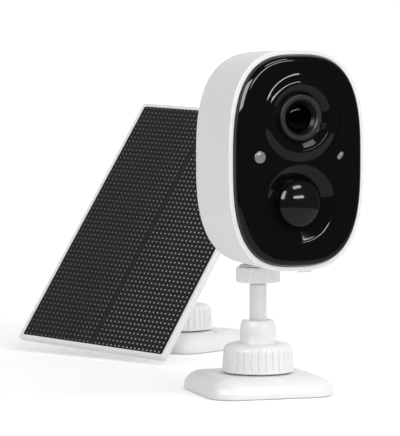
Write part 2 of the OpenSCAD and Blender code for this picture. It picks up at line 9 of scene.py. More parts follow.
import logging
import math
from dataclasses import dataclass, field
from enum import Enum
from typing import Callable, Sequence

import bmesh
import bpy
from mathutils import Matrix, Vector


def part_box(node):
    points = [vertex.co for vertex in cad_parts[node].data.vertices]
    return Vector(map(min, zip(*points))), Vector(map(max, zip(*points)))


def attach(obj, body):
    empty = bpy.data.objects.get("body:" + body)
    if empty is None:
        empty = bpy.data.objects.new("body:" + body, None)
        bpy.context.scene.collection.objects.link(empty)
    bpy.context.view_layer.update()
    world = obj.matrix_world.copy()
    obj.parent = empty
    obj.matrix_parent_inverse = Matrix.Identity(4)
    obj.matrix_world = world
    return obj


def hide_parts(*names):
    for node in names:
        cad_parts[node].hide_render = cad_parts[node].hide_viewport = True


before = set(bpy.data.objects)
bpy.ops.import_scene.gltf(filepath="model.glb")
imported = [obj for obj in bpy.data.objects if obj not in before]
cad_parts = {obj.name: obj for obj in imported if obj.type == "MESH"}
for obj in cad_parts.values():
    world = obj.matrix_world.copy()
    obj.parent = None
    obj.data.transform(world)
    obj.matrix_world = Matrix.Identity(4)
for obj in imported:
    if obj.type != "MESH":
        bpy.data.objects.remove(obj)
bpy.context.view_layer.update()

LOG = logging.getLogger("solar_camera")
MM = 0.001
TAU = 2 * math.pi

Point = tuple[float, float]
Ring = list[Vector]
Socket = bpy.types.NodeSocket


class Slot(Enum):
    """The record's material slots."""

    WHITE = "white_plastic"
    MOUNT = "mount_plastic"
    POST = "post_plastic"
    GLOSS = "black_gloss"
    BARREL = "barrel_black"
    GLASS = "lens_glass"
    TRIM = "trim_metal"
    DOME = "dome_plastic"
    LAMP = "lamp_clear"
    RUBBER = "rubber"
    SOFT = "soft_white"
    STEEL = "steel"
    BRASS = "brass"
    BOARD = "board_green"
    CHIP = "chip_black"
    CHASSIS = "chassis_grey"
    WRAP = "cell_wrap"
    ANTENNA = "antenna_film"
    SOLAR = "solar_black"


class Unit(Enum):
    """The two ball mounts."""

    CAMERA = "camera"
    PANEL = "panel"


# ---- Node building ----------------------------------------------------------


class Nodes:
    """A short way to add and wire shader nodes in one tree."""

    def __init__(self, tree: bpy.types.NodeTree) -> None:
        """Keeps the tree.

        Args:
            tree: The node tree that every call adds to.
        """
        self.tree = tree

    def add(self, kind: str, **settings: object) -> bpy.types.Node:
        """Adds a node.

        Args:
            kind: The node's type name, without its ShaderNode prefix.
            settings: Attributes to set on the node.

        Returns:
            The new node.
        """
        node = self.tree.nodes.new("ShaderNode" + kind)
        for key, value in settings.items():
            setattr(node, key, value)
        return node

    def feed(self, target: Socket, value: object) -> None:
        """Links a socket to a target, or sets a plain value on it.

        Args:
            target: The input to feed.
            value: An output socket, a number or a colour.
        """
        if isinstance(value, bpy.types.NodeSocket):
            self.tree.links.new(value, target)
        elif target.type == "RGBA" and len(value) == 3:
            target.default_value = (*value, 1)
        else:
            target.default_value = value

    def math(self, operation: str, *values: object, clamp: bool = False) -> Socket:
        """Adds a Math node and returns its result.

        Args:
            operation: The Math operation.
            values: Its inputs, as sockets or numbers.
            clamp: Whether the result is held between 0 and 1.

        Returns:
            The result's socket.
        """
        node = self.add("Math", operation=operation, use_clamp=clamp)
        for target, value in zip(node.inputs, values):
            self.feed(target, value)
        return node.outputs[0]

    def mix(self, factor: object, a: object, b: object, blend: str = "MIX") -> Socket:
        """Adds a colour Mix node and returns its result.

        Args:
            factor: The share of b.
            a: First colour.
            b: Second colour.
            blend: The way that the two are joined.

        Returns:
            The result's socket.
        """
        node = self.add("Mix", data_type="RGBA", blend_type=blend)
        self.feed(node.inputs[0], factor)
        self.feed(node.inputs[6], a)
        self.feed(node.inputs[7], b)
        return node.outputs[2]

    def spread(
        self, value: object, low: float, high: float, to_low: float = 0, to_high: float = 1
    ) -> Socket:
        """Maps a range onto another one, held at its ends.

        Args:
            value: What is mapped.
            low: Start of the range.
            high: End of the range.
            to_low: What the start becomes.
            to_high: What the end becomes.

        Returns:
            The result's socket.
        """
        node = self.add("MapRange")
        for target, number in zip(node.inputs, (value, low, high, to_low, to_high)):
            self.feed(target, number)
        return node.outputs[0]

    def noise(self, vector: Socket, scale: object, detail: float = 2, roughness: float = 0.5) -> Socket:
        """Adds a noise texture and returns its value.

        Args:
            vector: The place on the surface.
            scale: Repeats per metre.
            detail: Octaves.
            roughness: Share of the fine octaves.

        Returns:
            The noise's value socket.
        """
        node = self.add("TexNoise")
        self.feed(node.inputs["Vector"], vector)
        self.feed(node.inputs["Scale"], scale)
        node.inputs["Detail"].default_value = detail
        node.inputs["Roughness"].default_value = roughness
        return node.outputs["Fac"]

    def place(self) -> Socket:
        """Returns the place on the piece, in metres."""
        return self.add("TexCoord").outputs["Object"]


class GroupKind(Enum):
    """The effects that several materials share."""

    GRAIN = "Moulded grain"
    WEAR = "Edge wear"
    DUST = "Settled dust"
    LATTICE = "Cell lattice"


class Groups:
    """The shared node groups, each built once."""

    def __init__(self) -> None:
        """Builds every group."""
        self.made: dict[GroupKind, bpy.types.NodeTree] = {}
        self._grain()
        self._wear()
        self._dust()
        self._lattice()

    def _start(
        self, kind: GroupKind, inputs: dict[str, tuple[str, object]], outputs: dict[str, str]
    ) -> tuple[Nodes, bpy.types.Node, bpy.types.Node]:
        """Opens a new group with named sockets.

        Args:
            kind: Which effect it is.
            inputs: For each input its socket type and its value.
            outputs: For each output its socket type.

        Returns:
            The node builder, the group's input node and its output node.
        """
        tree = bpy.data.node_groups.new(kind.value, "ShaderNodeTree")
        for name, (kind_of_socket, value) in inputs.items():
            made = tree.interface.new_socket(name, in_out="INPUT", socket_type="NodeSocket" + kind_of_socket)
            made.default_value = value
        for name, kind_of_socket in outputs.items():
            tree.interface.new_socket(name, in_out="OUTPUT", socket_type="NodeSocket" + kind_of_socket)
        self.made[kind] = tree
        nodes = Nodes(tree)
        return nodes, tree.nodes.new("NodeGroupInput"), tree.nodes.new("NodeGroupOutput")

    def _grain(self) -> None:
        """Fine spark-eroded grain of a moulded face, with slow drift in tone and gloss."""
        nodes, given, out = self._start(
            GroupKind.GRAIN,
            {
                "Scale": ("Float", 2200.0),
                "Depth": ("Float", 0.5),
                "Drift": ("Float", 0.04),
                "Roughness": ("Float", 0.4),
            },
            {"Height": "Float", "Tone": "Float", "Roughness": "Float"},
        )
        place = nodes.place()
        fine = nodes.noise(place, given.outputs["Scale"], detail=3, roughness=0.6)
        slow = nodes.noise(place, 34.0, detail=3)
        nodes.feed(out.inputs["Height"], nodes.math("MULTIPLY", fine, given.outputs["Depth"]))
        centred = nodes.math("SUBTRACT", slow, 0.5)
        drift = nodes.math("MULTIPLY", centred, given.outputs["Drift"])
        nodes.feed(out.inputs["Tone"], nodes.math("ADD", drift, 1.0))
        uneven = nodes.math("SUBTRACT", fine, 0.5)
        speck = nodes.math("MULTIPLY_ADD", uneven, 0.12, given.outputs["Roughness"])
        nodes.feed(out.inputs["Roughness"], nodes.math("ADD", speck, drift, clamp=True))

    def _wear(self) -> None:
        """Where handling rubs a piece: its sharp outer edges, broken up by noise."""
        nodes, given, out = self._start(
            GroupKind.WEAR,
            {"Amount": ("Float", 0.4), "Start": ("Float", 0.54), "Scale": ("Float", 420.0)},
            {"Mask": "Float"},
        )
        point = nodes.add("NewGeometry").outputs["Pointiness"]
        patchy = nodes.noise(nodes.place(), given.outputs["Scale"], detail=4, roughness=0.7)
        over = nodes.math("SUBTRACT", point, given.outputs["Start"])
        edge = nodes.math("MULTIPLY", over, 14.0, clamp=True)
        broken = nodes.math("MULTIPLY", edge, nodes.spread(patchy, 0.42, 0.62))
        nodes.feed(out.inputs["Mask"], nodes.math("MULTIPLY", broken, given.outputs["Amount"], clamp=True))

    def _dust(self) -> None:
        """A thin film of dust on faces that look up."""
        nodes, given, out = self._start(
            GroupKind.DUST,
            {"Amount": ("Float", 0.1), "Scale": ("Float", 160.0)},
            {"Mask": "Float"},
        )
        split = nodes.add("SeparateXYZ")
        nodes.feed(split.inputs[0], nodes.add("NewGeometry").outputs["Normal"])
        up = nodes.spread(split.outputs["Z"], 0.35, 1.0)
        cloud = nodes.noise(nodes.place(), given.outputs["Scale"], detail=5, roughness=0.65)
        film = nodes.math("MULTIPLY", up, nodes.spread(cloud, 0.4, 0.7))
        nodes.feed(out.inputs["Mask"], nodes.math("MULTIPLY", film, given.outputs["Amount"], clamp=True))

    def _lattice(self) -> None:
        """Rows of small pads with a wider gap along the middle and after every few rows."""
        nodes, given, out = self._start(
            GroupKind.LATTICE,
            {
                "Pitch X": ("Float", 3.0 * MM),
                "Pitch Y": ("Float", 3.0 * MM),
                "Pad": ("Float", 0.15),
                "Rows": ("Float", 6.0),
            },
            {"Pads": "Float", "Gaps": "Float", "Seam": "Float"},
        )
        split = nodes.add("SeparateXYZ")
        nodes.feed(split.inputs[0], nodes.place())
        offset = []
        for axis in "XY":
            steps = nodes.math("DIVIDE", split.outputs[axis], given.outputs["Pitch " + axis])
            shifted = nodes.math("ADD", steps, 0.5 if axis == "X" else 0.0)
            part = nodes.math("SUBTRACT", nodes.math("FRACT", shifted), 0.5)
            offset.append(nodes.math("ABSOLUTE", part))
        squares = [nodes.math("POWER", part, 2.0) for part in offset]
        far = nodes.math("SQRT", nodes.math("ADD", *squares))
        pads = nodes.spread(nodes.math("SUBTRACT", given.outputs["Pad"], far), -0.06, 0.06)
        seam = nodes.spread(nodes.math("ABSOLUTE", split.outputs["X"]), 1.0 * MM, 2.2 * MM, 1.0, 0.0)
        block = nodes.math("MULTIPLY", given.outputs["Pitch Y"], given.outputs["Rows"])
        along = nodes.math("FRACT", nodes.math("ADD", nodes.math("DIVIDE", split.outputs["Y"], block), 0.5))
        away = nodes.math("ABSOLUTE", nodes.math("SUBTRACT", along, 0.5))
        gaps = nodes.spread(away, 0.035, 0.06, 1.0, 0.0)
        nodes.feed(out.inputs["Pads"], pads)
        nodes.feed(out.inputs["Gaps"], gaps)
        nodes.feed(out.inputs["Seam"], seam)

    def put(self, nodes: Nodes, kind: GroupKind, **values: object) -> bpy.types.Node:
        """Places a group in a material.

        Args:
            nodes: The material's node builder.
            kind: Which effect.
            values: Its inputs by name, with _ for a space.

        Returns:
            The group's node.
        """
        node = nodes.add("Group")
        node.node_tree = self.made[kind]
        for name, value in values.items():
            nodes.feed(node.inputs[name.replace("_", " ")], value)
        return node


# ---- Finishes ---------------------------------------------------------------

DUST_COLOUR = (0.52, 0.5, 0.47)
LIGHT_DEPTH = 0.8 * MM  # how far light travels inside the white plastics


@dataclass(frozen=True)
class Finish:
    """A moulded, metal or coated surface.

    Attributes:
        name: The material's name.
        slot: The record's slot that it stands for.
        colour: Its own colour.
        roughness: Its mean roughness.
        metallic: 1 for bare metal.
        grain: Repeats of the fine grain per metre.
        depth: Height of the grain in millimetres.
        drift: How far tone and gloss wander.
        worn: Colour that rubbed edges turn to.
        wear: How much of the edges is rubbed.
        dust: How much dust lies on faces that look up.
        coat: Weight of a clear coat.
        coat_roughness: Roughness of that coat.
        specular: Strength of the reflection head-on.
        sheen: Weight of a soft bloom at grazing angles.
        subsurface: Weight of light that enters the plastic.
    """

    name: str
    slot: Slot
    colour: tuple[float, float, float]
    roughness: float
    metallic: float = 0.0
    grain: float = 2200.0
    depth: float = 0.006
    drift: float = 0.03
    worn: tuple[float, float, float] = (0.9, 0.9, 0.9)
    wear: float = 0.0
    dust: float = 0.03
    coat: float = 0.0
    coat_roughness: float = 0.05
    specular: float = 0.5
    sheen: float = 0.0
    subsurface: float = 0.0

    def build(self, groups: Groups) -> bpy.types.Material:
        """Makes the material.

        Args:
            groups: The shared node groups.

        Returns:
            The material.
        """
        material = bpy.data.materials.new(self.name)
        material.use_nodes = True
        nodes = Nodes(material.node_tree)
        shader = material.node_tree.nodes["Principled BSDF"]
        grain = groups.put(
            nodes, GroupKind.GRAIN, Scale=self.grain, Depth=1.0, Drift=self.drift, Roughness=self.roughness)
        tint = nodes.mix(1.0, self.colour, grain.outputs["Tone"], "MULTIPLY")
        if self.wear:
            wear = groups.put(nodes, GroupKind.WEAR, Amount=self.wear)
            tint = nodes.mix(wear.outputs["Mask"], tint, self.worn)
        if self.dust:
            dust = groups.put(nodes, GroupKind.DUST, Amount=self.dust)
            tint = nodes.mix(dust.outputs["Mask"], tint, DUST_COLOUR)
        nodes.feed(shader.inputs["Base Color"], tint)
        nodes.feed(shader.inputs["Roughness"], grain.outputs["Roughness"])
        bump = nodes.add("Bump")
        bump.inputs["Distance"].default_value = self.depth * MM
        nodes.feed(bump.inputs["Height"], grain.outputs["Height"])
        nodes.feed(shader.inputs["Normal"], bump.outputs[0])
        plain = {
            "Metallic": self.metallic,
            "Coat Weight": self.coat,
            "Coat Roughness": self.coat_roughness,
            "Specular IOR Level": self.specular,
            "Sheen Weight": self.sheen,
            "Subsurface Weight": self.subsurface,
            "Subsurface Scale": LIGHT_DEPTH,
        }
        for name, value in plain.items():
            shader.inputs[name].default_value = value
        material.diffuse_color = (*self.colour, 1)
        return material


@dataclass(frozen=True)
class GlassFinish:
    """Coated lens glass over a dark inside, tinted dark as painted shade so that the lens looks nearly black.

    Attributes:
        name: The material's name.
        slot: The record's slot that it stands for.
        tint: Colour of the glass body; its dark tint is painted shade that darkens all that shows through the
            lens.
        transmission: Share of the light that goes through.
        roughness: Its roughness.
        ior: How strongly it bends light; set low, so that the coated lens shows little.
        specular: Strength of the reflection head-on.
    """

    name: str
    slot: Slot
    tint: tuple[float, float, float]
    transmission: float = 1.0
    roughness: float = 0.02
    ior: float = 1.2
    specular: float = 0.05

    def build(self, groups: Groups) -> bpy.types.Material:
        """Makes the material.

        Args:
            groups: The shared node groups.

        Returns:
            The material.
        """
        material = bpy.data.materials.new(self.name)
        material.use_nodes = True
        nodes = Nodes(material.node_tree)
        shader = material.node_tree.nodes["Principled BSDF"]
        grain = groups.put(
            nodes, GroupKind.GRAIN, Scale=900.0, Depth=1.0, Drift=0.02, Roughness=self.roughness)
        # Painted shade: the dark tint darkens what shows through the lens, in place of the shade inside the
        # barrel.
        tint = nodes.mix(1.0, self.tint, grain.outputs["Tone"], "MULTIPLY")
        nodes.feed(shader.inputs["Base Color"], tint)
        shader.inputs["Roughness"].default_value = self.roughness
        shader.inputs["Transmission Weight"].default_value = self.transmission
        shader.inputs["IOR"].default_value = self.ior
        shader.inputs["Specular IOR Level"].default_value = self.specular
        return material


@dataclass(frozen=True)
class SolarFinish:
    """The laminate over the cells: dark, with rows of small pads under a clear textured film, and a painted
    sheen that brightens the pads across the panel.

    Attributes:
        name: The material's name.
        slot: The record's slot that it stands for.
        ground: Colour of the cells.
        pad: Colour of the small pads.
        pitch_x: Spacing of the pads across the panel.
        pitch_y: Spacing of the pads along the panel.
        seam_fade: How far the pads fade in the gap along the middle.
        gap_fade: How far they fade between the blocks of rows.
        across: Where across the panel the painted sheen on the pads starts and stops rising, in metres.
        dimmest: The pads' brightness at that start, where the painted sheen is least.
        specular: Strength of the film's reflection head-on.
    """

    name: str
    slot: Slot
    ground: tuple[float, float, float]
    pad: tuple[float, float, float]
    pitch_x: float
    pitch_y: float
    seam_fade: float = 0.85
    gap_fade: float = 0.6
    across: tuple[float, float] = (-20 * MM, 30 * MM)
    dimmest: float = 0.3
    specular: float = 0.15

    def build(self, groups: Groups) -> bpy.types.Material:
        """Makes the material.

        Args:
            groups: The shared node groups.

        Returns:
            The material.
        """
        material = bpy.data.materials.new(self.name)
        material.use_nodes = True
        nodes = Nodes(material.node_tree)
        shader = material.node_tree.nodes["Principled BSDF"]
        lattice = groups.put(nodes, GroupKind.LATTICE, Pitch_X=self.pitch_x, Pitch_Y=self.pitch_y)
        grain = groups.put(nodes, GroupKind.GRAIN, Scale=700.0, Depth=1.0, Drift=0.1, Roughness=0.3)
        ground = nodes.mix(1.0, self.ground, grain.outputs["Tone"], "MULTIPLY")
        clear = nodes.math("SUBTRACT", 1.0, nodes.math("MULTIPLY", lattice.outputs["Seam"], self.seam_fade))
        faded = nodes.math("MULTIPLY", lattice.outputs["Gaps"], self.gap_fade)
        open_rows = nodes.math("SUBTRACT", 1.0, faded)
        side = nodes.add("SeparateXYZ")
        nodes.feed(side.inputs[0], nodes.place())
        # Painted sheen: the pads' colour brightens across the panel, standing in for light on them.
        painted_sheen = nodes.spread(side.outputs["X"], *self.across, self.dimmest, 1.0)
        shown = nodes.math("MULTIPLY", lattice.outputs["Pads"], painted_sheen)
        share = nodes.math("MULTIPLY", nodes.math("MULTIPLY", shown, clear), open_rows)
        nodes.feed(shader.inputs["Base Color"], nodes.mix(share, ground, self.pad))
        nodes.feed(shader.inputs["Roughness"], nodes.math("MULTIPLY_ADD", share, 0.12, 0.3))
        bump = nodes.add("Bump")
        bump.inputs["Distance"].default_value = 0.02 * MM
        nodes.feed(bump.inputs["Height"], lattice.outputs["Pads"])
        nodes.feed(shader.inputs["Normal"], bump.outputs[0])
        shader.inputs["Specular IOR Level"].default_value = self.specular
        return material


FINISHES: tuple[Finish | GlassFinish | SolarFinish, ...] = (
    Finish("White housing plastic", Slot.WHITE, (0.84, 0.84, 0.845), 0.42, grain=2600, depth=0.005,
           wear=0.1, worn=(0.78, 0.78, 0.77), dust=0.02, subsurface=0.05),
    Finish("White mount plastic", Slot.MOUNT, (0.85, 0.85, 0.855), 0.36, grain=2400, depth=0.004,
           wear=0.15, worn=(0.76, 0.76, 0.75), dust=0.03, subsurface=0.05),
    Finish("Light grey post plastic", Slot.POST, (0.78, 0.785, 0.79), 0.34, grain=2400, depth=0.004,
           dust=0.02),
    Finish("Black gloss cover", Slot.GLOSS, (0.0035, 0.0035, 0.004), 0.05, grain=1500, depth=0.0004,
           drift=0.02, dust=0.0, coat=0.0),
    Finish("Black barrel", Slot.BARREL, (0.013, 0.013, 0.0135), 0.42, grain=3000, depth=0.006, dust=0.01),
    # The lens glass's dark tint is painted shade, darkening what shows through it.
    GlassFinish("Coated lens glass", Slot.GLASS, (0.06, 0.06, 0.09)),
    Finish("Dark satin trim", Slot.TRIM, (0.02, 0.02, 0.021), 0.34, metallic=1.0, grain=3200, depth=0.002,
           dust=0.0),
    Finish("Sensor dome plastic", Slot.DOME, (0.006, 0.006, 0.0065), 0.1, grain=1400, depth=0.0006,
           dust=0.0),
    Finish("Clear lamp over reflector", Slot.LAMP, (0.19, 0.195, 0.2), 0.13, grain=900, depth=0.01,
           dust=0.0, coat=1.0),
    Finish("Black rubber", Slot.RUBBER, (0.03, 0.03, 0.031), 0.72, grain=1800, depth=0.02, dust=0.1,
           sheen=0.2),
    Finish("White silicone", Slot.SOFT, (0.8, 0.8, 0.79), 0.6, grain=1800, depth=0.01, dust=0.06,
           sheen=0.15),
    Finish("Plated steel", Slot.STEEL, (0.6, 0.6, 0.62), 0.28, metallic=1.0, grain=2600, depth=0.003,
           wear=0.3, worn=(0.8, 0.8, 0.8), dust=0.02),
    Finish("Turned brass", Slot.BRASS, (0.72, 0.52, 0.22), 0.26, metallic=1.0, grain=2600, depth=0.004,
           wear=0.3, worn=(0.9, 0.75, 0.4), dust=0.02),
    Finish("Green board", Slot.BOARD, (0.01, 0.12, 0.045), 0.3, grain=1200, depth=0.01, dust=0.05,
           coat=0.5),
    Finish("Moulded resin", Slot.CHIP, (0.015, 0.015, 0.016), 0.5, grain=2600, depth=0.01, dust=0.05),
    Finish("Grey chassis plastic", Slot.CHASSIS, (0.09, 0.095, 0.1), 0.5, grain=2000, depth=0.01,
           dust=0.05),
    Finish("Blue cell wrap", Slot.WRAP, (0.03, 0.12, 0.4), 0.2, grain=700, depth=0.02, dust=0.02, coat=0.4),
    Finish("Amber antenna film", Slot.ANTENNA, (0.42, 0.17, 0.03), 0.3, grain=900, depth=0.01, dust=0.02,
           coat=0.4),
    # The pads carry a painted sheen that brightens them across the panel.
    SolarFinish("Cells under film", Slot.SOLAR, (0.005, 0.005, 0.0058), (0.5, 0.5, 0.51), 2.98 * MM,
                2.98 * MM),
)


class Palette:
    """Every material of the object, by its slot."""

    def __init__(self) -> None:
        """Builds the groups and the materials."""
        groups = Groups()
        self.made = {finish.slot: finish.build(groups) for finish in FINISHES}

    def dress(self, piece: bpy.types.Object, slot: Slot) -> None:
        """Gives a piece one material in all its faces.

        Args:
            piece: The piece.
            slot: The finish's slot.
        """
        piece.data.materials.clear()
        piece.data.materials.append(self.made[slot])
        if piece.type == "MESH":
            for polygon in piece.data.polygons:
                polygon.material_index = 0


# ---- Mesh building ----------------------------------------------------------


class Ends(Enum):
    """How the first and the last ring of a mesh are finished."""

    CAPS = "each is closed by a face"
    LOOP = "the last one joins the first"


class Tooling(Enum):
    """What a tool does to a piece."""

    CUT = "DIFFERENCE"
    JOIN = "UNION"


def rounded(points: Sequence[Point], radii: Sequence[float], steps: int = 5) -> list[Point]:
    """Rounds the corners of a line of points.

    Args:
        points: The line's corners.
        radii: A rounding radius for each corner; the two ends take none.
        steps: Stretches along each rounding.

    Returns:
        The line with arcs in its corners.
    """
    out: list[Point] = []
    last = len(points) - 1
    for i, (point, radius) in enumerate(zip(points, radii)):
        if i in (0, last) or radius <= 0:
            out.append(point)
            continue
        here = Vector(point)
        to_a, to_b = Vector(points[i - 1]) - here, Vector(points[i + 1]) - here
        half = to_a.angle(to_b) / 2
        cut = min(radius / math.tan(half), 0.49 * to_a.length, 0.49 * to_b.length)
        start, end = here + to_a.normalized() * cut, here + to_b.normalized() * cut
        for k in range(steps + 1):
            t = k / steps
            curve = start * (1 - t) ** 2 + here * 2 * t * (1 - t) + end * t ** 2
            out.append((curve.x, curve.y))
    return out


def outline_ring(
    w: float, h: float, y: float, centre_z: float, power: float = 2.9, count: int = 192
) -> Ring:
    """One ring of the camera head: |x/a|^n + |z/b|^n = 1 at depth y.

    Args:
        w: Full width.
        h: Full height.
        y: Depth.
        centre_z: Height of its centre.
        power: The outline's exponent.
        count: Points around.

    Returns:
        The ring's points.
    """
    ring = []
    for i in range(count):
        a = TAU * i / count
        c, s = math.cos(a), math.sin(a)
        x = w / 2 * math.copysign(abs(c) ** (2 / power), c)
        z = h / 2 * math.copysign(abs(s) ** (2 / power), s)
        ring.append(Vector((x, y, centre_z + z)))
    return ring


def square_ring(w: float, h: float, corner: float, z: float, arc: int = 10, side: int = 8) -> Ring:
    """A rectangle with round corners, with points along its sides as well.

    Args:
        w: Width along X.
        h: Height along Y.
        corner: Corner radius.
        z: Height of the ring.
        arc: Stretches round each corner.
        side: Stretches along each side.

    Returns:
        The ring's points, counter-clockwise from above.
    """
    ring = []
    mx, my = w / 2 - corner, h / 2 - corner
    signs = ((1, 1), (-1, 1), (-1, -1), (1, -1))
    for k, (sx, sy) in enumerate(signs):
        for i in range(arc + 1):
            a = math.pi / 2 * (k + i / arc)
            ring.append(Vector((sx * mx + corner * math.cos(a), sy * my + corner * math.sin(a), z)))
        end = ring[-1].copy()
        nx, ny = signs[(k + 1) % 4]
        a = math.pi / 2 * (k + 1)
        start = Vector((nx * mx + corner * math.cos(a), ny * my + corner * math.sin(a), z))
        for i in range(1, side):
            ring.append(end.lerp(start, i / side))
    return ring


def make(
    name: str, rings: Sequence[Ring], ends: Ends = Ends.CAPS, sharp: float = 32
) -> bpy.types.Object:
    """Joins rings of equal length into one closed mesh.

    Args:
        name: The piece's name.
        rings: The rings, in order.
        ends: How the first and the last ring are finished.
        sharp: Edges bent by more than this many degrees stay sharp.

    Returns:
        The new object, in the scene.
    """
    mesh = bmesh.new()
    rows = [[mesh.verts.new(p) for p in ring] for ring in rings]
    count = len(rows[0])
    pairs = list(zip(rows, rows[1:]))
    if ends is Ends.LOOP:
        pairs.append((rows[-1], rows[0]))
    for a, b in pairs:
        for i in range(count):
            j = (i + 1) % count
            mesh.faces.new((a[i], a[j], b[j], b[i]))
    if ends is Ends.CAPS:
        mesh.faces.new(rows[0])
        mesh.faces.new(list(reversed(rows[-1])))
    bmesh.ops.remove_doubles(mesh, verts=mesh.verts, dist=1e-7)
    bmesh.ops.recalc_face_normals(mesh, faces=mesh.faces)
    return wrap(name, mesh, sharp)


def wrap(name: str, mesh: bmesh.types.BMesh, sharp: float = 32) -> bpy.types.Object:
    """Turns a bmesh into an object with smooth faces and weighted normals.

    Args:
        name: The piece's name.
        mesh: The mesh; it is freed.
        sharp: Edges bent by more than this many degrees stay sharp.

    Returns:
        The new object, in the scene.
    """
    data = bpy.data.meshes.new(name)
    mesh.to_mesh(data)
    mesh.free()
    piece = bpy.data.objects.new(name, data)
    bpy.context.scene.collection.objects.link(piece)
    smooth(piece, sharp)
    return piece


def smooth(piece: bpy.types.Object, sharp: float = 32) -> None:
    """Shades a piece smooth but for its sharp edges.

    Args:
        piece: The piece.
        sharp: Edges bent by more than this many degrees stay sharp.
    """
    piece.data.shade_smooth()
    piece.data.set_sharp_from_angle(angle=math.radians(sharp))
    if "even normals" not in piece.modifiers:
        modifier = piece.modifiers.new("even normals", "WEIGHTED_NORMAL")
        modifier.keep_sharp = True


def revolve(
    name: str,
    profile: Sequence[Point],
    place: Matrix = Matrix.Identity(4),
    count: int = 96,
    shape: Callable[[float, float, float], float] | None = None,
    closed: bool = True,
) -> bpy.types.Object:
    """Turns a profile round the local Z axis.

    Args:
        name: The piece's name.
        profile: Points of radius and height; a radius of 0 lies on the axis.
        place: Moves the mesh's own points.
        count: Points around.
        shape: Changes a radius, from the radius, the height and the angle.
        closed: Whether the last point joins the first.

    Returns:
        The new object, in the scene.
    """
    mesh = bmesh.new()
    rows = []
    for r, z in profile:
        if r < 1e-9:
            rows.append([mesh.verts.new(place @ Vector((0, 0, z)))])
            continue
        row = []
        for i in range(count):
            a = TAU * i / count
            radius = shape(r, z, a) if shape else r
            row.append(mesh.verts.new(place @ Vector((radius * math.cos(a), radius * math.sin(a), z))))
        rows.append(row)
    pairs = list(zip(rows, rows[1:]))
    if closed:
        pairs.append((rows[-1], rows[0]))
    for a, b in pairs:
        for i in range(count):
            j = (i + 1) % count
            if len(a) == 1 and len(b) == 1:
                break
            if len(a) == 1:
                mesh.faces.new((a[0], b[j], b[i]))
            elif len(b) == 1:
                mesh.faces.new((a[i], a[j], b[0]))
            else:
                mesh.faces.new((a[i], a[j], b[j], b[i]))
    bmesh.ops.recalc_face_normals(mesh, faces=mesh.faces)
    return wrap(name, mesh)


def block(name: str, low: Vector, high: Vector, edge: float) -> bpy.types.Object:
    """A box with rounded edges.

    Args:
        name: The piece's name.
        low: Lowest corner.
        high: Highest corner.
        edge: Radius of its edges.

    Returns:
        The new object, in the scene.
    """
    mesh = bmesh.new()
    bmesh.ops.create_cube(mesh, size=1.0)
    size = high - low
    for vert in mesh.verts:
        vert.co = vert.co * size + (low + high) / 2
    bmesh.ops.bevel(mesh, geom=list(mesh.edges), offset=edge, segments=3, profile=0.5, affect="EDGES")
    bmesh.ops.recalc_face_normals(mesh, faces=mesh.faces)
    return wrap(name, mesh)


def carve(
    piece: bpy.types.Object, tools: Sequence[bpy.types.Object], tooling: Tooling = Tooling.CUT
) -> None:
    """Cuts tools out of a piece, or joins them to it, and deletes them.

    Args:
        piece: The piece that changes.
        tools: The closed solids that are used up.
        tooling: What the tools do.
    """
    piece.modifiers.clear()
    for tool in tools:
        modifier = piece.modifiers.new("tool", "BOOLEAN")
        modifier.object = tool
        modifier.operation = tooling.value
        modifier.solver = "EXACT"
    graph = bpy.context.evaluated_depsgraph_get()
    result = bpy.data.meshes.new_from_object(piece.evaluated_get(graph))
    piece.modifiers.clear()
    old = piece.data
    piece.data = result
    bpy.data.meshes.remove(old)
    for tool in tools:
        bpy.data.objects.remove(tool)
    smooth(piece)


def mm(points: Sequence[Point]) -> list[Point]:
    """Turns points in millimetres into metres."""
    return [(a * MM, b * MM) for a, b in points]


def forward(x: float, z: float) -> Matrix:
    """A frame whose local Z runs along +Y, with its origin at x, z and depth 0.

    Args:
        x: Sideways place.
        z: Height.

    Returns:
        The frame as a matrix.
    """
    return Matrix.Translation((x, 0, z)) @ Matrix.Rotation(-math.pi / 2, 4, "X")


@dataclass
class Assembly:
    """What every sub-assembly shares.

    Attributes:
        palette: The object's materials.
    """

    palette: Palette

    def keep(
        self, piece: bpy.types.Object, slot: Slot, body: str, *nodes: str, place: Matrix | None = None
    ) -> None:
        """Dresses a finished piece and ties it to its body.

        Args:
            piece: The piece.
            slot: Its finish.
            body: The CAD body that it rides on.
            nodes: The CAD nodes that it stands for.
            place: Where its own frame stands, for a piece built in a local frame.
        """
        if place is not None:
            piece.matrix_world = place
        self.palette.dress(piece, slot)
        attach(piece, body)
        if nodes:
            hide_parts(*nodes)
        LOG.info("%s: %d faces on %s", piece.name, len(piece.data.polygons), body)


# ---- Camera head ------------------------------------------------------------


@dataclass
class HeadSizes:
    """Driving sizes of the camera head, in millimetres; places come from the CAD nodes.

    Attributes:
        wall: Wall of the housing.
        draft_w: How much narrower the side wall is at the seam.
        draft_h: How much lower it is at the seam.
        rim_round: Rounding of the rim's edges.
        dome_fall: How fast the rear dome draws in; 1 is an ellipse.
        lip: How far the rear cover's lip enters the housing.
        boss_bore: Inner radius of the boss over the thread insert.
        boss_r: Outer radius of that boss.
        boss_h: Its height.
        holes: Number of speaker holes.
        hole_r: Their radius.
        hole_pitch: Their spacing.
        hole_y: Their depth behind the origin.
        tab_start: Where the port cover's pull tab starts, from the cover's edge.
        tab_end: Where it ends.
        tab_deep: Its depth.
        tab_h: How far it hangs below the cover's plate.
        well_wall: Wall round the well behind the port cover.
        slack: Free gap round the port cover.
    """

    wall: float = 2.4
    draft_w: float = 1.0
    draft_h: float = 2.4
    rim_round: float = 0.7
    dome_fall: float = 1.15
    lip: float = 3.4
    boss_bore: float = 5.0
    boss_r: float = 7.8
    boss_h: float = 13.0
    holes: int = 5
    hole_r: float = 0.7
    hole_pitch: float = 2.2
    hole_y: float = -24.0
    tab_start: float = 8.5
    tab_end: float = 16.0
    tab_deep: float = 2.0
    tab_h: float = 1.9
    well_wall: float = 1.8
    slack: float = 0.4


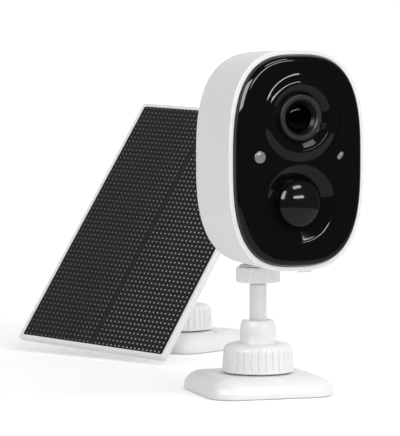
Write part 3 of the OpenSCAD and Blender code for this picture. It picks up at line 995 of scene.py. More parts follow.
@dataclass
class Casing(Assembly):
    """The white housing, its domed rear cover and the rubber port cover.

    Attributes:
        sizes: The head's sizes.
    """

    sizes: HeadSizes = field(default_factory=HeadSizes)

    def build(self) -> None:
        """Builds every piece of the casing."""
        low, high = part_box("housing_shell")
        self.w, self.h = (high.x - low.x) / MM, (high.z - low.z) / MM
        self.centre_z = (high.z + low.z) / 2
        self.rim_y, self.seam_y = low.y / MM, high.y / MM
        self.shell()
        self.rear()
        self.port()

    def ring(self, w: float, h: float, y: float) -> Ring:
        """A ring of the head's outline, from sizes in millimetres."""
        return outline_ring(w * MM, h * MM, y * MM, self.centre_z)

    def shell(self) -> None:
        """The side wall with its rounded rim, open at both ends."""
        s = self.sizes
        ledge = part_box("cover_gasket")[1].y / MM
        inner = 2 * s.wall
        corners = [
            (inner, ledge, 0), (inner, self.rim_y, 0.35), (0, self.rim_y, s.rim_round), (0, self.rim_y + 3, 0),
            (s.draft_w, self.seam_y, 0.3), (s.draft_w + 1.2, self.seam_y, 0),
            (inner + s.draft_w, self.seam_y, 0.3),
            (inner + 4, ledge + 4, 0), (inner + 5.6, ledge + 3, 0.3), (inner + 5.6, ledge, 0),
        ]
        path = rounded([corner[:2] for corner in corners], [corner[2] for corner in corners], steps=6)
        rings = []
        for inset, y in path:
            along = min(max((y - self.rim_y) / (self.seam_y - self.rim_y), 0), 1)
            extra = (s.draft_h - s.draft_w) * along if inset < inner else 0
            rings.append(self.ring(self.w - inset, self.h - inset - extra, y))
        piece = make("head_shell", rings, Ends.LOOP)
        tools = [self.port_tool("port pocket", s.slack, -50, 1.0)]
        low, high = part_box("speaker")
        middle = (low.x + high.x) / 2 + 0.4 * MM
        bore = mm([(0, -6), (s.hole_r, -6), (s.hole_r, 9), (0, 9)])
        for i in range(s.holes):
            along = (i - (s.holes - 1) / 2) * s.hole_pitch * MM
            place = Matrix.Translation((middle + along, s.hole_y * MM, low.z - 12 * MM))
            tools.append(revolve("speaker hole", bore, place, count=20, closed=False))
        carve(piece, tools)
        self.keep(piece, Slot.WHITE, "camera_head", "housing_shell")

    def port_tool(self, name: str, grow: float, down: float, up: float) -> bpy.types.Object:
        """A block as wide as the port cover, for cuts.

        Args:
            name: Its name.
            grow: How much wider it is on each side, in millimetres.
            down: How far it reaches down, in millimetres.
            up: How far above the port cover's top face it ends, in millimetres.

        Returns:
            The block.
        """
        low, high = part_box("port_cover")
        low = Vector((low.x - grow * MM, low.y - grow * MM, low.z + down * MM))
        high = Vector((high.x + grow * MM, high.y + (grow + 0.4) * MM, high.z + up * MM))
        return block(name, low, high, 0.3 * MM)

    def rear(self) -> None:
        """The dome behind the seam, hollow, with a lip that enters the housing."""
        s = self.sizes
        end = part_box("rear_cover")[1].y / MM
        depth = end - self.seam_y
        w, h = self.w - s.draft_w, self.h - s.draft_h

        def dome(w: float, h: float, depth: float, steps: int) -> list[Ring]:
            """Rings from the seam to the rear end."""
            rings = []
            for i in range(steps + 1):
                a = math.pi / 2 * i / steps
                share = max(math.cos(a), 0.004) ** s.dome_fall
                rings.append(self.ring(w * share, h * share, self.seam_y + depth * math.sin(a)))
            return rings

        outside = dome(w, h, depth, 40)
        outside[0] = self.ring(w - 0.5, h - 0.5, self.seam_y + 0.02)
        outside.insert(1, self.ring(w - 0.12, h - 0.12, self.seam_y + 0.25))
        cut = 2 * s.wall + 3
        inside = dome(w - cut, h - cut, depth - s.wall, 20)
        lip = 2 * s.wall + 0.2
        seam = [
            self.ring(w - cut, h - cut, self.seam_y - s.lip),
            self.ring(w - lip, h - lip, self.seam_y - s.lip),
            self.ring(w - lip, h - lip, self.seam_y + 0.02),
        ]
        piece = make("rear_shell", list(reversed(inside)) + seam + outside)
        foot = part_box("thread_insert")[0].z / MM
        top = foot + s.boss_h
        bore, r = s.boss_bore, s.boss_r
        tube = rounded([(bore, foot), (r, foot), (r, top), (bore, top)], [0, 0.5, 0, 0])
        boss = revolve("mount_boss", mm(tube), count=64)
        self.keep(piece, Slot.WHITE, "camera_head", "rear_cover")
        self.keep(boss, Slot.WHITE, "camera_head")

    def port(self) -> None:
        """The soft cover over the sockets, with its pull tab, and the well behind it."""
        s = self.sizes
        low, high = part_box("port_cover")
        plate = low.z + s.tab_h * MM
        cover = block("port_flap_cover", Vector((low.x, low.y, plate)), high, 0.35 * MM)
        tab_low = Vector((low.x + s.tab_start * MM, low.y, low.z))
        tab_high = Vector((low.x + s.tab_end * MM, low.y + s.tab_deep * MM, plate + 0.5 * MM))
        carve(cover, [block("tab", tab_low, tab_high, 0.6 * MM)], Tooling.JOIN)
        self.keep(cover, Slot.SOFT, "port_flap", "port_cover")
        wall = s.well_wall * MM
        well = block(
            "port_well", Vector((low.x - wall, low.y - wall, high.z - 0.4 * MM)),
            Vector((high.x + wall, high.y + wall, high.z + 2.9 * MM)), 0.3 * MM)
        opening = block(
            "opening", Vector((low.x + 1.5 * MM, low.y + 1.4 * MM, low.z)),
            Vector((high.x - 1.3 * MM, high.y - 1.4 * MM, high.z + 6 * MM)), 0.5 * MM)
        carve(well, [self.port_tool("pocket", s.slack, -5, 0.3), opening])
        self.keep(well, Slot.WHITE, "camera_head")


@dataclass
class Face(Assembly):
    """The black front cover with its raised lens ring, lens, motion sensor and lamps.

    Attributes:
        bevel: Width of the cover's rounded edge, in millimetres.
        dish_r: Radius of the motion sensor's dish.
        dish_depth: Depth of that dish.
        dish_floor_r: Radius at its bottom.
        lens_bore: Radius of the opening that holds the lens barrel.
        crest_r: Radius of the raised lens ring's crest.
        cone_r: Radius at the mouth of the cone inside it.
        cone_fall: How much narrower that cone is at its end.
        cone_deep: Depth of that cone.
        ridges: Fine ridges down the cone.
        ridge_h: Their height.
        glass_crown: How far the lens bulges.
        glass_seat: Depth of the shoulder that the lens and its trim ring sit on.
        trim_r: Outer radius of the trim ring.
        dome_r: Radius of the motion sensor's cap.
        dome_cap: Half the angle that the cap spans on its sphere, in degrees.
        dome_wall: Wall of the cap.
        flange: Width of the cap's flange behind the cover.
        button_r: Radius of the light sensor's button.
        button_stem: Radius of the button's stem.
        lamp_turn: Tilt of the status lamp, in degrees.
        lamp_r: Radius of its round ends.
        lamp_half: Half the length between their centres.
    """

    bevel: float = 3.2
    dish_r: float = 18.6
    dish_depth: float = 4.0
    dish_floor_r: float = 11.5
    lens_bore: float = 11.45
    crest_r: float = 16.9
    cone_r: float = 14.9
    cone_fall: float = 2.7
    cone_deep: float = 1.55
    ridges: int = 7
    ridge_h: float = 0.006
    glass_crown: float = 1.4
    glass_seat: float = -43.6
    trim_r: float = 8.4
    dome_r: float = 11.2
    dome_cap: float = 40.0
    dome_wall: float = 1.0
    flange: float = 0.8
    button_r: float = 3.0
    button_stem: float = 2.6
    lamp_turn: float = 50.0
    lamp_r: float = 1.15
    lamp_half: float = 1.05

    def build(self) -> None:
        """Builds every piece of the face."""
        low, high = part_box("front_cover")
        self.low, self.high = low, high
        self.face_y = low.y / MM
        ring_low, ring_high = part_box("lens_ring")
        self.lens_z = (ring_low.z + ring_high.z) / 2 / MM
        self.ring_r = (ring_high.z - ring_low.z) / 2 / MM
        dome_low, dome_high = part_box("pir_dome")
        self.pir_z = (dome_low.z + dome_high.z) / 2 / MM
        self.cover()
        self.lens_ring()
        self.barrel()
        self.lens()
        self.dome()
        self.lamps()

    def turned(
        self, name: str, profile: Sequence[Point], z: float, x: float = 0, count: int = 128,
        closed: bool = True,
    ) -> bpy.types.Object:
        """A piece turned about an axis along Y.

        Args:
            name: Its name.
            profile: Points of radius and depth, in millimetres.
            z: Height of the axis, in millimetres.
            x: Its sideways place, in millimetres.
            count: Points around.
            closed: Whether the last point joins the first.

        Returns:
            The new object, in the scene.
        """
        return revolve(name, mm(profile), forward(x * MM, z * MM), count, closed=closed)

    def cover(self) -> None:
        """The domed-edge cover, cut for the lens, the motion sensor and the lamps."""
        low, high, y = self.low, self.high, self.face_y
        w, h = (high.x - low.x) / MM, (high.z - low.z) / MM
        rim_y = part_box("housing_shell")[0].y / MM
        rear = high.y / MM
        centre_z = (high.z + low.z) / 2
        steps = 18
        levels = [(0.0, rear), (0.0, rim_y + 1.5)]
        for i in range(steps + 1):
            a = math.pi / 2 * i / steps
            levels.append((self.bevel * (1 - math.cos(a)), rim_y - (rim_y - y) * math.sin(a)))
        levels.append((self.bevel + 1.2, y))
        rings = [outline_ring((w - 2 * i) * MM, (h - 2 * i) * MM, d * MM, centre_z) for i, d in levels]
        piece = make("face_cover", rings, sharp=24)
        z = self.lens_z
        before, behind = -60, -30
        wide, bore = self.ring_r + 0.08, self.lens_bore - 0.05
        seat = [(0, before), (wide, before), (wide, y + 1.4), (bore, y + 1.4), (bore, behind), (0, behind)]
        r, floor_y = self.dish_r, y + self.dish_depth
        throat, pocket = self.dome_r + 0.1, self.dome_r + 1.9
        dish = [
            (0, before), (r + 1.3, before), (r + 1.3, y - 0.12), (r + 0.5, y + 0.03), (r, y + 0.16),
            (r - 0.5, y + 0.42), (r - 1.0, y + 0.74), (self.dish_floor_r, floor_y), (throat, floor_y),
            (throat, floor_y + 1.4), (pocket, floor_y + 1.4), (pocket, behind), (0, behind),
        ]
        tools = [
            self.turned("seat", seat, z),
            self.turned("dish", dish, self.pir_z, count=160),
        ]
        light_low, light_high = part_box("light_sensor")
        light = (light_low + light_high) / 2 / MM
        wide, narrow = self.button_r + 0.1, self.button_stem + 0.1
        hole = [(0, before), (wide, before), (wide, y + 0.5), (narrow, y + 0.5), (narrow, behind), (0, behind)]
        tools.append(self.turned("light hole", hole, light.z, light.x, 64))
        tools.append(self.capsule("status hole", 0.08, before, behind))
        carve(piece, tools)
        piece.data.set_sharp_from_angle(angle=math.radians(24))
        self.keep(piece, Slot.GLOSS, "camera_head", "front_cover")

    def capsule(
        self, name: str, grow: float, start: float, end: float, crown: float = 0
    ) -> bpy.types.Object:
        """The tilted slot-shaped window of the status lamp.

        Args:
            name: Its name.
            grow: How much larger it is all round, in millimetres.
            start: Front depth in millimetres.
            end: Rear depth in millimetres.
            crown: How far its front bulges, in millimetres.

        Returns:
            The solid.
        """
        low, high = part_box("status_light")
        centre = (low + high) / 2
        tilt, r, half = math.radians(self.lamp_turn), self.lamp_r + grow, self.lamp_half

        def ring(share: float, y: float) -> Ring:
            """One slot-shaped ring, shrunk to a share of its size."""
            points = []
            for k in range(40):
                a = TAU * k / 40
                side = half if math.cos(a) >= 0 else -half
                u, v = (side + r * math.cos(a)) * share, r * math.sin(a) * share
                x = u * math.cos(tilt) - v * math.sin(tilt)
                z = u * math.sin(tilt) + v * math.cos(tilt)
                points.append(Vector((centre.x + x * MM, y * MM, centre.z + z * MM)))
            return points

        levels = [(1.0, end), (1.0, start + crown)]
        if crown:
            levels += [(math.cos(a), start + crown * (1 - math.sin(a))) for a in (0.35, 0.7, 1.05, 1.35)]
        return make(name, [ring(*level) for level in levels])

    def lens_ring(self) -> None:
        """The ring that swells out of the cover round the lens."""
        y, outer, crest, cone = self.face_y, self.ring_r, self.crest_r, self.cone_r
        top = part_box("lens_ring")[0].y / MM
        mouth, rear = y - 0.55, y + 1.36
        base, steps = y + 0.22, 14
        profile = [(self.lens_bore, rear), (outer, rear), (outer, base + 0.25), (outer - 0.15, base + 0.04)]
        start = outer - 0.25
        for i in range(1, steps + 1):
            t = i / steps
            ease = t * t * (3 - 2 * t)
            profile.append((start - (start - crest) * t, base - (base - top) * ease))
        profile += rounded([(crest, top), (crest - 0.7, top), (cone, mouth)], [0, 0.8, 0])[1:]
        count = self.ridges * 6
        for i in range(1, count + 1):
            t = i / count
            wave = self.ridge_h * math.sin(TAU * self.ridges * t)
            profile.append((cone - self.cone_fall * t + wave, mouth + self.cone_deep * t + wave))
        profile.append((self.lens_bore, y + 1.15))
        piece = self.turned("lens_surround", profile, self.lens_z, count=192)
        self.keep(piece, Slot.GLOSS, "camera_head", "lens_ring")

    def barrel(self) -> None:
        """The lens barrel with its stepped throat, and the thin trim ring inside it."""
        low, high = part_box("lens_barrel")
        front, rear, r = low.y / MM, high.y / MM, (high.x - low.x) / 2 / MM
        seat, step = self.glass_seat, rear - 9.4
        corners = [
            (5, rear, 0), (9, rear, 0.2), (9, step, 0.2), (r, step, 0.2), (r, front, 0.6), (9.2, front, 0.35),
            (8.5, front + 0.8, 0.2), (8.5, seat, 0.1), (6.2, seat, 0.1), (6.2, -41.8, 0.1), (5, -40, 0),
        ]
        profile = rounded([corner[:2] for corner in corners], [corner[2] for corner in corners])
        self.keep(self.turned("barrel", profile, self.lens_z), Slot.BARREL, "camera_head", "lens_barrel")
        trim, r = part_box("lens_trim_ring")[0].y / MM, self.trim_r
        profile = rounded(
            [(6.5, seat), (r, seat), (r, trim), (r - 0.5, trim), (7.5, trim + 0.5), (6.5, trim + 1.5),
             (6.5, seat)],
            [0, 0, 0.2, 0.2, 0.3, 0.2, 0])[:-1]
        self.keep(self.turned("barrel_trim", profile, self.lens_z), Slot.TRIM, "camera_head", "lens_trim_ring")

    def lens(self) -> None:
        """The front lens, and the iris and rear lens group that show through it."""
        low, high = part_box("lens_glass")
        r, front, rear = (high.x - low.x) / 2 / MM, low.y / MM, high.y / MM
        crown = [
            (r * math.sin(a), front + self.glass_crown * (1 - math.cos(a)))
            for a in (math.pi / 2 * (1 - k / 14) for k in range(14))
        ]
        profile = [(0.0, rear), (r - 0.3, rear), (r, rear - 0.2)] + crown + [(0.0, front)]
        glass = self.turned("front_lens", profile, self.lens_z, count=96, closed=False)
        self.keep(glass, Slot.GLASS, "camera_head", "lens_glass")
        stop = rounded([(2.3, -42.6), (6.0, -43.1), (6.0, -42.1), (2.3, -42.2)], [0, 0.2, 0, 0])
        self.keep(self.turned("iris_plate", stop, self.lens_z, count=96), Slot.BARREL, "camera_head")
        r, edge, rear, bulge = 4.2, -40.4, -39.8, 1.4
        crown = [
            (r * math.sin(a), edge - bulge * math.cos(a))
            for a in (math.pi / 2 * (1 - k / 10) for k in range(10))
        ]
        profile = [(0.0, rear), (r, rear)] + crown + [(0.0, edge - bulge)]
        rear_lens = self.turned("rear_lens", profile, self.lens_z, count=64, closed=False)
        self.keep(rear_lens, Slot.GLOSS, "camera_head")

    def dome(self) -> None:
        """The motion sensor's cap with a straight skirt and a flange behind the cover."""
        low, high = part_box("pir_dome")
        r, cap, front, rear = self.dome_r, math.radians(self.dome_cap), low.y / MM, high.y / MM
        ball = r / math.sin(cap)
        centre, hollow, steps = front + ball, ball - self.dome_wall, 20
        turns = [cap * k / steps for k in range(1, steps + 1)]
        outside = [(ball * math.sin(a), centre - ball * math.cos(a)) for a in reversed(turns)]
        inside = [(hollow * math.sin(a), centre - hollow * math.cos(a)) for a in turns]
        lug, wide = rear - self.flange, r + 1.8
        skirt = [(inside[-1][0], rear), (wide, rear), (wide, lug), (r, lug)]
        profile = [(0.0, front + self.dome_wall)] + inside + skirt + outside + [(0.0, front)]
        piece = self.turned("sensor_dome", profile, self.pir_z, count=128, closed=False)
        self.keep(piece, Slot.DOME, "camera_head", "pir_dome")

    def lamps(self) -> None:
        """The light sensor's clear button over its reflector, and the status lamp."""
        low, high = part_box("light_sensor")
        middle = (low + high) / 2 / MM
        front, rear, r, stem = low.y / MM, high.y / MM, self.button_r, self.button_stem
        profile = [(0.0, rear), (stem, rear), (stem, front + 1.2), (r, front + 1.2)]
        for k in range(10):
            a = math.pi / 2 * k / 10
            profile.append((r * math.cos(a), front + 0.8 * (1 - math.sin(a))))
        profile.append((0.0, front))
        button = self.turned("light_button", profile, middle.z, middle.x, 64, closed=False)
        self.keep(button, Slot.LAMP, "camera_head", "light_sensor")
        low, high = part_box("status_light")
        lamp = self.capsule("status_lamp", 0.0, low.y / MM, high.y / MM, 0.45)
        self.keep(lamp, Slot.LAMP, "camera_head", "status_light")


# ---- Ball mounts ------------------------------------------------------------


@dataclass
class MountSizes:
    """Sizes of one ball mount in its own frame, in millimetres, foot at the origin.

    Attributes:
        side: Side of the foot.
        corner: Corner radius of the foot.
        fillet: How far the foot's shoulder reaches in.
        foot_top: Height of the foot's top face.
        neck_r: Radius of the neck inside the collar.
        screw_circle: Diameter of the circle of the two screw holes.
        ball_z: Height of the ball's centre.
        ball_r: Radius of the ball.
        socket_r: Radius of the cup's socket.
        cup_r: Radius of the cup.
        cup_top: Height of the cup's top.
        slot_half: Half the width of the cup's slot.
        collar_low: Height of the collar's lower edge.
        collar_high: Height of its upper edge.
        collar_r: Its radius at the bottom.
        collar_top_r: Its radius below the rounded shoulder.
        shoulder: Radius of that shoulder.
        groove_deep: Depth of the collar's grooves.
        groove_wide: How far a groove reaches to each side of its middle.
        post_r: Radius of the post.
        post_low: Height at which the post leaves the ball.
        post_high: Height of the post's shoulder.
        stud_r: Radius of the stud over its thread.
        turns: Turns of that thread.
        nut_low: Height of the lock nut's lower face.
        nut_high: Height of its upper face.
        nut_r: Its radius.
        nut_round: Rounding of its upper edge.
        grooves: Grooves round the collar.
        grips: Grooves round the lock nut.
        flutes: Flutes round the post.
    """

    side: float = 65.0
    corner: float = 12.5
    fillet: float = 10.0
    foot_top: float = 10.0
    neck_r: float = 13.0
    screw_circle: float = 45.0
    ball_z: float = 30.5
    ball_r: float = 7.0
    socket_r: float = 7.3
    cup_r: float = 9.05
    cup_top: float = 36.8
    slot_half: float = 4.8
    collar_low: float = 10.8
    collar_high: float = 25.0
    collar_r: float = 18.15
    collar_top_r: float = 17.5
    shoulder: float = 4.0
    groove_deep: float = 0.8
    groove_wide: float = 0.62
    post_r: float = 4.35
    post_low: float = 38.0
    post_high: float = 55.0
    stud_r: float = 3.17
    turns: int = 34
    nut_low: float = 55.9
    nut_high: float = 63.8
    nut_r: float = 11.2
    nut_round: float = 1.4
    grooves: int = 30
    grips: int = 24
    flutes: int = 26


@dataclass
class BallMount(Assembly):
    """One foot, collar, cup, ball stem and lock nut.

    Attributes:
        unit: Which of the two mounts it is.
        foot_place: The foot's frame.
        cup_place: The cup's frame.
        post_place: The post's frame.
        stud_top: Height of the stud's end in the post's frame, in millimetres.
        sizes: The mount's sizes.
    """

    unit: Unit = Unit.CAMERA
    foot_place: Matrix = field(default_factory=lambda: Matrix.Identity(4))
    cup_place: Matrix = field(default_factory=lambda: Matrix.Identity(4))
    post_place: Matrix = field(default_factory=lambda: Matrix.Identity(4))
    stud_top: float = 74.0
    sizes: MountSizes = field(default_factory=MountSizes)

    def name(self, part: str) -> str:
        """A piece's name, with the mount's own name in front."""
        return f"{self.unit.value}_{part}"

    def build(self) -> None:
        """Builds every piece of the mount."""
        self.foot()
        self.collar()
        self.cup()
        self.stem()
        self.nut()

    def foot(self) -> None:
        """The pillow-shaped foot with its neck and two screw holes."""
        s = self.sizes
        arcs, edge_z = 14, 2.0
        levels = [(-5.0, 1.4), (-5.0, 0.4), (-0.5, 0.4), (-0.1, 0.65), (0.0, 1.1), (0.0, edge_z)]
        for i in range(1, arcs + 1):
            a = math.pi / 2 * i / arcs
            levels.append((-s.fillet * (1 - math.cos(a)), edge_z + (s.foot_top - edge_z) * math.sin(a)))
        rings = []
        for grow, z in levels:
            side = s.side + 2 * grow
            corner = s.corner + (0.9 if z < edge_z else 1.0) * grow  # the underside keeps rounder corners
            rings.append(square_ring(side * MM, side * MM, corner * MM, z * MM))
        outline, r, top = rings[-1], s.neck_r, s.foot_top
        neck = [(19.0, top), (r + 0.6, top), (r, top + 0.6), (r, 19.0), (r - 0.5, 19.5)]
        bore = [(7.2, 19.5), (6.9, 19.2), (6.9, 13.0)]
        for r, z in neck + bore:
            turns = [math.atan2(point.y, point.x) for point in outline]
            rings.append([Vector((r * math.cos(a), r * math.sin(a), z)) * MM for a in turns])
        piece = make(self.name("base"), rings)
        hole = [(0, -2), (2.1, -2), (2.1, top - 1.9), (4.1, top - 0.25), (4.3, top + 3), (0, top + 3)]
        tools = []
        for side in (-1, 1):
            place = Matrix.Translation((side * s.screw_circle / 2 * MM, 0, 0))
            tools.append(revolve("screw hole", mm(hole), place, 40, closed=False))
        carve(piece, tools)
        self.keep(piece, Slot.MOUNT, f"{self.unit.value}_foot", self.name("foot"), place=self.foot_place)

    def collar(self) -> None:
        """The clamp collar with its grooves, round at their upper ends."""
        s = self.sizes
        low, high, r, top_r, count = s.collar_low, s.collar_high, s.collar_r, s.collar_top_r, 16
        start, end = low + 0.3, high - s.shoulder
        profile = [(13.4, low), (r - 0.35, low), (r, start)]
        for k in range(1, count + 1):
            t = k / count
            profile.append((r - (r - top_r) * t, start + (end - start) * t))
        for k in range(1, 11):
            a = math.pi / 2 * k / 10
            profile.append((top_r - s.shoulder * (1 - math.cos(a)), end + s.shoulder * math.sin(a)))
        profile += [(9.7, high), (9.45, high - 0.25), (9.45, high - 1.6), (13.4, high - 1.6)]
        pitch, fine = TAU / s.grooves, 18

        def groove(r: float, z: float, a: float) -> float:
            """The radius with the groove's cut taken off it."""
            if r / MM < 14.5:
                return r
            across = abs((a / pitch + 0.5) % 1 - 0.5) * pitch * fine / s.groove_wide
            cut = s.groove_deep * math.sqrt(max(0.0, 1 - across * across))
            below = min(max((z / MM - low - 0.5) / 0.7, 0), 1)
            above = min(max((high - 1.6 - z / MM) / 2.4, 0), 1)
            return r - cut * MM * math.sqrt(below * above)

        piece = revolve(self.name("grip_collar"), mm(profile), count=s.grooves * fine, shape=groove)
        self.keep(piece, Slot.MOUNT, self.name("collar"), self.name("clamp_collar"), place=self.foot_place)

    def cup(self) -> None:
        """The cup over the ball, with the slot that lets the post tip over."""
        s = self.sizes
        r, top, crown = s.cup_r, s.cup_top, 1.7
        wall_z = top - 6.2
        profile = [(0, 20), (12.6, 20), (12.6, 22), (r, 22), (r, wall_z)]
        for k in range(1, 9):
            a = math.pi / 2 * k / 9
            profile.append((r - crown * (1 - math.cos(a)), wall_z + 6.2 * math.sin(a)))
        profile += [(7.0, top), (0, top)]
        piece = revolve(self.name("cup"), mm(profile), count=96, closed=False)
        r = s.socket_r
        socket = [(0, 10), (r, 10)]
        for k in range(12):
            a = math.pi / 2 * (1 - k / 12)
            socket.append((r * math.sin(a), s.ball_z + r * math.cos(a)))
        socket.append((0, s.ball_z + r))
        throat = rounded(
            [(0, s.ball_z), (5.25, s.ball_z), (5.25, top - 0.5), (6.1, top + 0.6), (0, top + 0.6)],
            [0, 0, 0.5, 0, 0])
        tools = [
            revolve("socket", mm(socket), count=64, closed=False),
            revolve("throat", mm(throat), count=64, closed=False),
            self.slot_tool(),
        ]
        carve(piece, tools)
        self.keep(piece, Slot.MOUNT, self.name("cup"), self.name("ball_cup"), place=self.cup_place)

    def slot_tool(self) -> bpy.types.Object:
        """The tongue that cuts the cup's slot, round at its lower end and open at the top."""
        s = self.sizes
        half, beyond, reach = s.slot_half, 45.0, 20.0
        edge = [(half, beyond)]
        for k in range(13):
            a = math.pi * k / 12
            edge.append((half * math.cos(a), s.ball_z - half * math.sin(a)))
        edge.append((-half, beyond))
        rings = [[Vector((x, y, z)) * MM for x, z in edge] for y in (-reach, 0)]
        return make("slot", rings)

    def stem(self) -> None:
        """The ball, the fluted post and the threaded stud."""
        s = self.sizes
        ball, r, low, high = s.ball_r, s.post_r, s.post_low, s.post_high
        meet = math.asin(r / ball)
        profile = [(0.0, s.ball_z - ball)]
        for k in range(1, 25):
            a = math.pi - (math.pi - meet) * k / 24
            profile.append((ball * math.sin(a), s.ball_z + ball * math.cos(a)))
        profile += [(r, low), (r, low + 0.4), (r, high - 1.4), (r, high - 0.8), (r - 0.45, high)]
        profile += [(s.stud_r + 0.005, high)]
        start, root = high + 0.2, s.stud_r - 0.31
        pitch = (self.stud_top - 0.6 - start) / s.turns
        for k in range(s.turns):
            profile += [(s.stud_r, start + pitch * k), (root, start + pitch * (k + 0.5))]
        profile += [(2.8, self.stud_top - 0.3), (2.4, self.stud_top), (0.0, self.stud_top)]

        def flute(radius: float, z: float, a: float) -> float:
            """The radius with a shallow flute along the post."""
            on_post = (low + 0.2) * MM < z < (high - 1.1) * MM and abs(radius - r * MM) < 0.01 * MM
            return radius - 0.05 * MM * (1 + math.cos(a * s.flutes)) if on_post else radius

        piece = revolve(self.name("post"), mm(profile), count=s.flutes * 8, shape=flute, closed=False)
        self.keep(piece, Slot.POST, self.name("stem"), self.name("ball_stem"), place=self.post_place)

    def nut(self) -> None:
        """The lock nut with its fine grip, and the washer above it."""
        s = self.sizes
        low, high, r, edge, bore = s.nut_low, s.nut_high, s.nut_r, s.nut_round, 3.25
        profile = [(bore, 60.3), (4.75, 60.3), (4.75, low), (r - 0.5, low), (r, low + 0.5)]
        profile += [(r, low + 0.5 + (high - low - 0.5 - edge) * k / 6) for k in range(1, 7)]
        for k in range(1, 9):
            a = math.pi / 16 * k
            profile.append((r - edge * (1 - math.cos(a)), high - edge * (1 - math.sin(a))))
        profile += [(bore, high)]

        def grip(radius: float, z: float, a: float) -> float:
            """The radius with the grip's shallow grooves."""
            if radius < 10.4 * MM:
                return radius
            across = abs((a * s.grips / TAU) % 1 - 0.5) * (TAU / s.grips) * r / 0.5
            return radius - (0.25 * math.sqrt(1 - across * across) * MM if across < 1 else 0)

        piece = revolve(self.name("nut"), mm(profile), count=s.grips * 16, shape=grip)
        self.keep(piece, Slot.MOUNT, self.name("nut"), self.name("lock_nut"), place=self.post_place)
        low, high = high + 0.3, high + 0.9
        pad = rounded([(bore, low), (9.5, low), (9.5, high), (bore, high)], [0, 0.15, 0.15, 0])
        washer = revolve(self.name("nut_pad"), mm(pad), count=96)
        self.keep(washer, Slot.SOFT, self.name("nut_washer"), self.name("washer"), place=self.post_place)


# ---- Solar panel ------------------------------------------------------------


@dataclass
class SolarPanel(Assembly):
    """The white frame, the laminate in it, the back plate and the junction box.

    Attributes:
        place: The frame of the panel's post, turned by the panel's roll.
        w: Width of the frame, in millimetres.
        h: Height of the frame.
        up: Distance from the post's axis to the middle of the panel.
        back_z: Height of the frame's back face in the post's frame.
        thick: Thickness of the frame.
        border: Width of the white border.
        box_w: Width of the junction box.
        box_h: Height of the junction box.
        box_z: Height of the junction box's outer face.
        screw_x: Sideways place of its screws.
        screw_y: Their place along the panel.
    """

    place: Matrix = field(default_factory=lambda: Matrix.Identity(4))
    w: float = 111.0
    h: float = 165.0
    up: float = 17.0
    back_z: float = 71.5
    thick: float = 4.0
    border: float = 2.5
    box_w: float = 64.0
    box_h: float = 44.0
    box_z: float = 65.0
    screw_x: float = 26.0
    screw_y: float = 16.0

    def build(self) -> None:
        """Builds every piece of the panel."""
        self.middle = self.place @ Matrix.Translation((0, self.up * MM, 0))
        self.frame_piece()
        self.laminate()
        self.box()

    def ring(self, inset: float, corner: float, z: float) -> Ring:
        """A ring of the frame's outline, drawn in by an inset, in millimetres."""
        return square_ring((self.w - 2 * inset) * MM, (self.h - 2 * inset) * MM, corner * MM, z * MM)

    def frame_piece(self) -> None:
        """The frame round the laminate, with rounded edges."""
        front, back = self.back_z + self.thick, self.back_z
        inner = self.border - 0.2
        path = [
            (inner, 1.0, back + 1.5), (inner, 1.0, front - 0.25), (inner, 1.0, front - 0.2),
            (inner - 0.2, 1.0, front - 0.04), (inner - 0.45, 1.0, front), (0.7, 1.1, front),
            (0.35, 1.3, front - 0.1), (0.1, 1.4, front - 0.35), (0.0, 1.5, front - 0.7),
            (0.0, 1.5, back + 0.7), (0.1, 1.4, back + 0.35),
            (0.35, 1.3, back + 0.1), (0.7, 1.1, back), (inner + 6, 3.0, back), (inner + 6, 3.0, back + 1.5),
        ]
        piece = make("panel_surround", [self.ring(*level) for level in path], Ends.LOOP, sharp=50)
        self.keep(piece, Slot.WHITE, "solar_panel", "panel_frame", place=self.middle)
        edge = inner + 6.2
        path = [(edge, 2.8, back + 1.45), (edge, 2.8, back + 0.2), (edge + 0.2, 2.6, back)]
        plate = make("panel_back", [self.ring(*level) for level in path])
        self.keep(plate, Slot.WHITE, "solar_panel", "panel_back_plate", place=self.middle)

    def laminate(self) -> None:
        """The cells under their clear film, with a thin clear edge."""
        front, low = self.back_z + self.thick, self.back_z + 1.55
        edge = self.border
        path = [
            (edge, 0.8, low), (edge, 0.8, front - 0.35), (edge + 0.15, 0.7, front - 0.15),
            (edge + 0.5, 0.6, front - 0.1),
        ]
        sheet = make("panel_cells", [self.ring(*level) for level in path])
        self.keep(sheet, Slot.SOLAR, "solar_panel", "solar_cells", "panel_front_sheet", place=self.middle)

    def box(self) -> None:
        """The junction box with its screw wells and the boss of the thread insert."""
        w, h, z, top = self.box_w, self.box_h, self.box_z, self.back_z
        path = [
            (0.0, 6.0, top), (0.0, 6.0, z + 1.2), (0.15, 5.9, z + 0.55), (0.5, 5.6, z + 0.15), (1.1, 5.0, z),
        ]
        rings = [
            square_ring((w - 2 * inset) * MM, (h - 2 * inset) * MM, corner * MM, level * MM)
            for inset, corner, level in path
        ]
        piece = make("junction_housing", rings)
        well = [(0, z - 1), (2.6, z - 1), (2.6, z - 0.1), (2.2, z + 0.25), (2.2, z + 1.4), (0, z + 1.4)]
        tools = []
        for x in (-self.screw_x, self.screw_x):
            for y in (-self.screw_y, self.screw_y):
                place = Matrix.Translation((x * MM, y * MM, 0))
                tools.append(revolve("well", mm(well), place, 32, closed=False))
        profile = [(0, z - 1), (5.6, z - 1), (5.6, z - 0.1), (5.05, z + 0.3), (5.05, top + 1), (0, top + 1)]
        tools.append(revolve("bore", mm(profile), count=48, closed=False))
        bore = Matrix.Translation((0, -h / 2 * MM, (z + 3.2) * MM)) @ Matrix.Rotation(math.pi / 2, 4, "X")
        tools.append(revolve("outlet", mm([(0, -3), (2.5, -3), (2.5, 3), (0, 3)]), bore, 32, closed=False))
        carve(piece, tools)
        self.keep(piece, Slot.WHITE, "solar_panel", "junction_box", place=self.place)


# ---- Nodes that keep their CAD shape ---------------------------------------


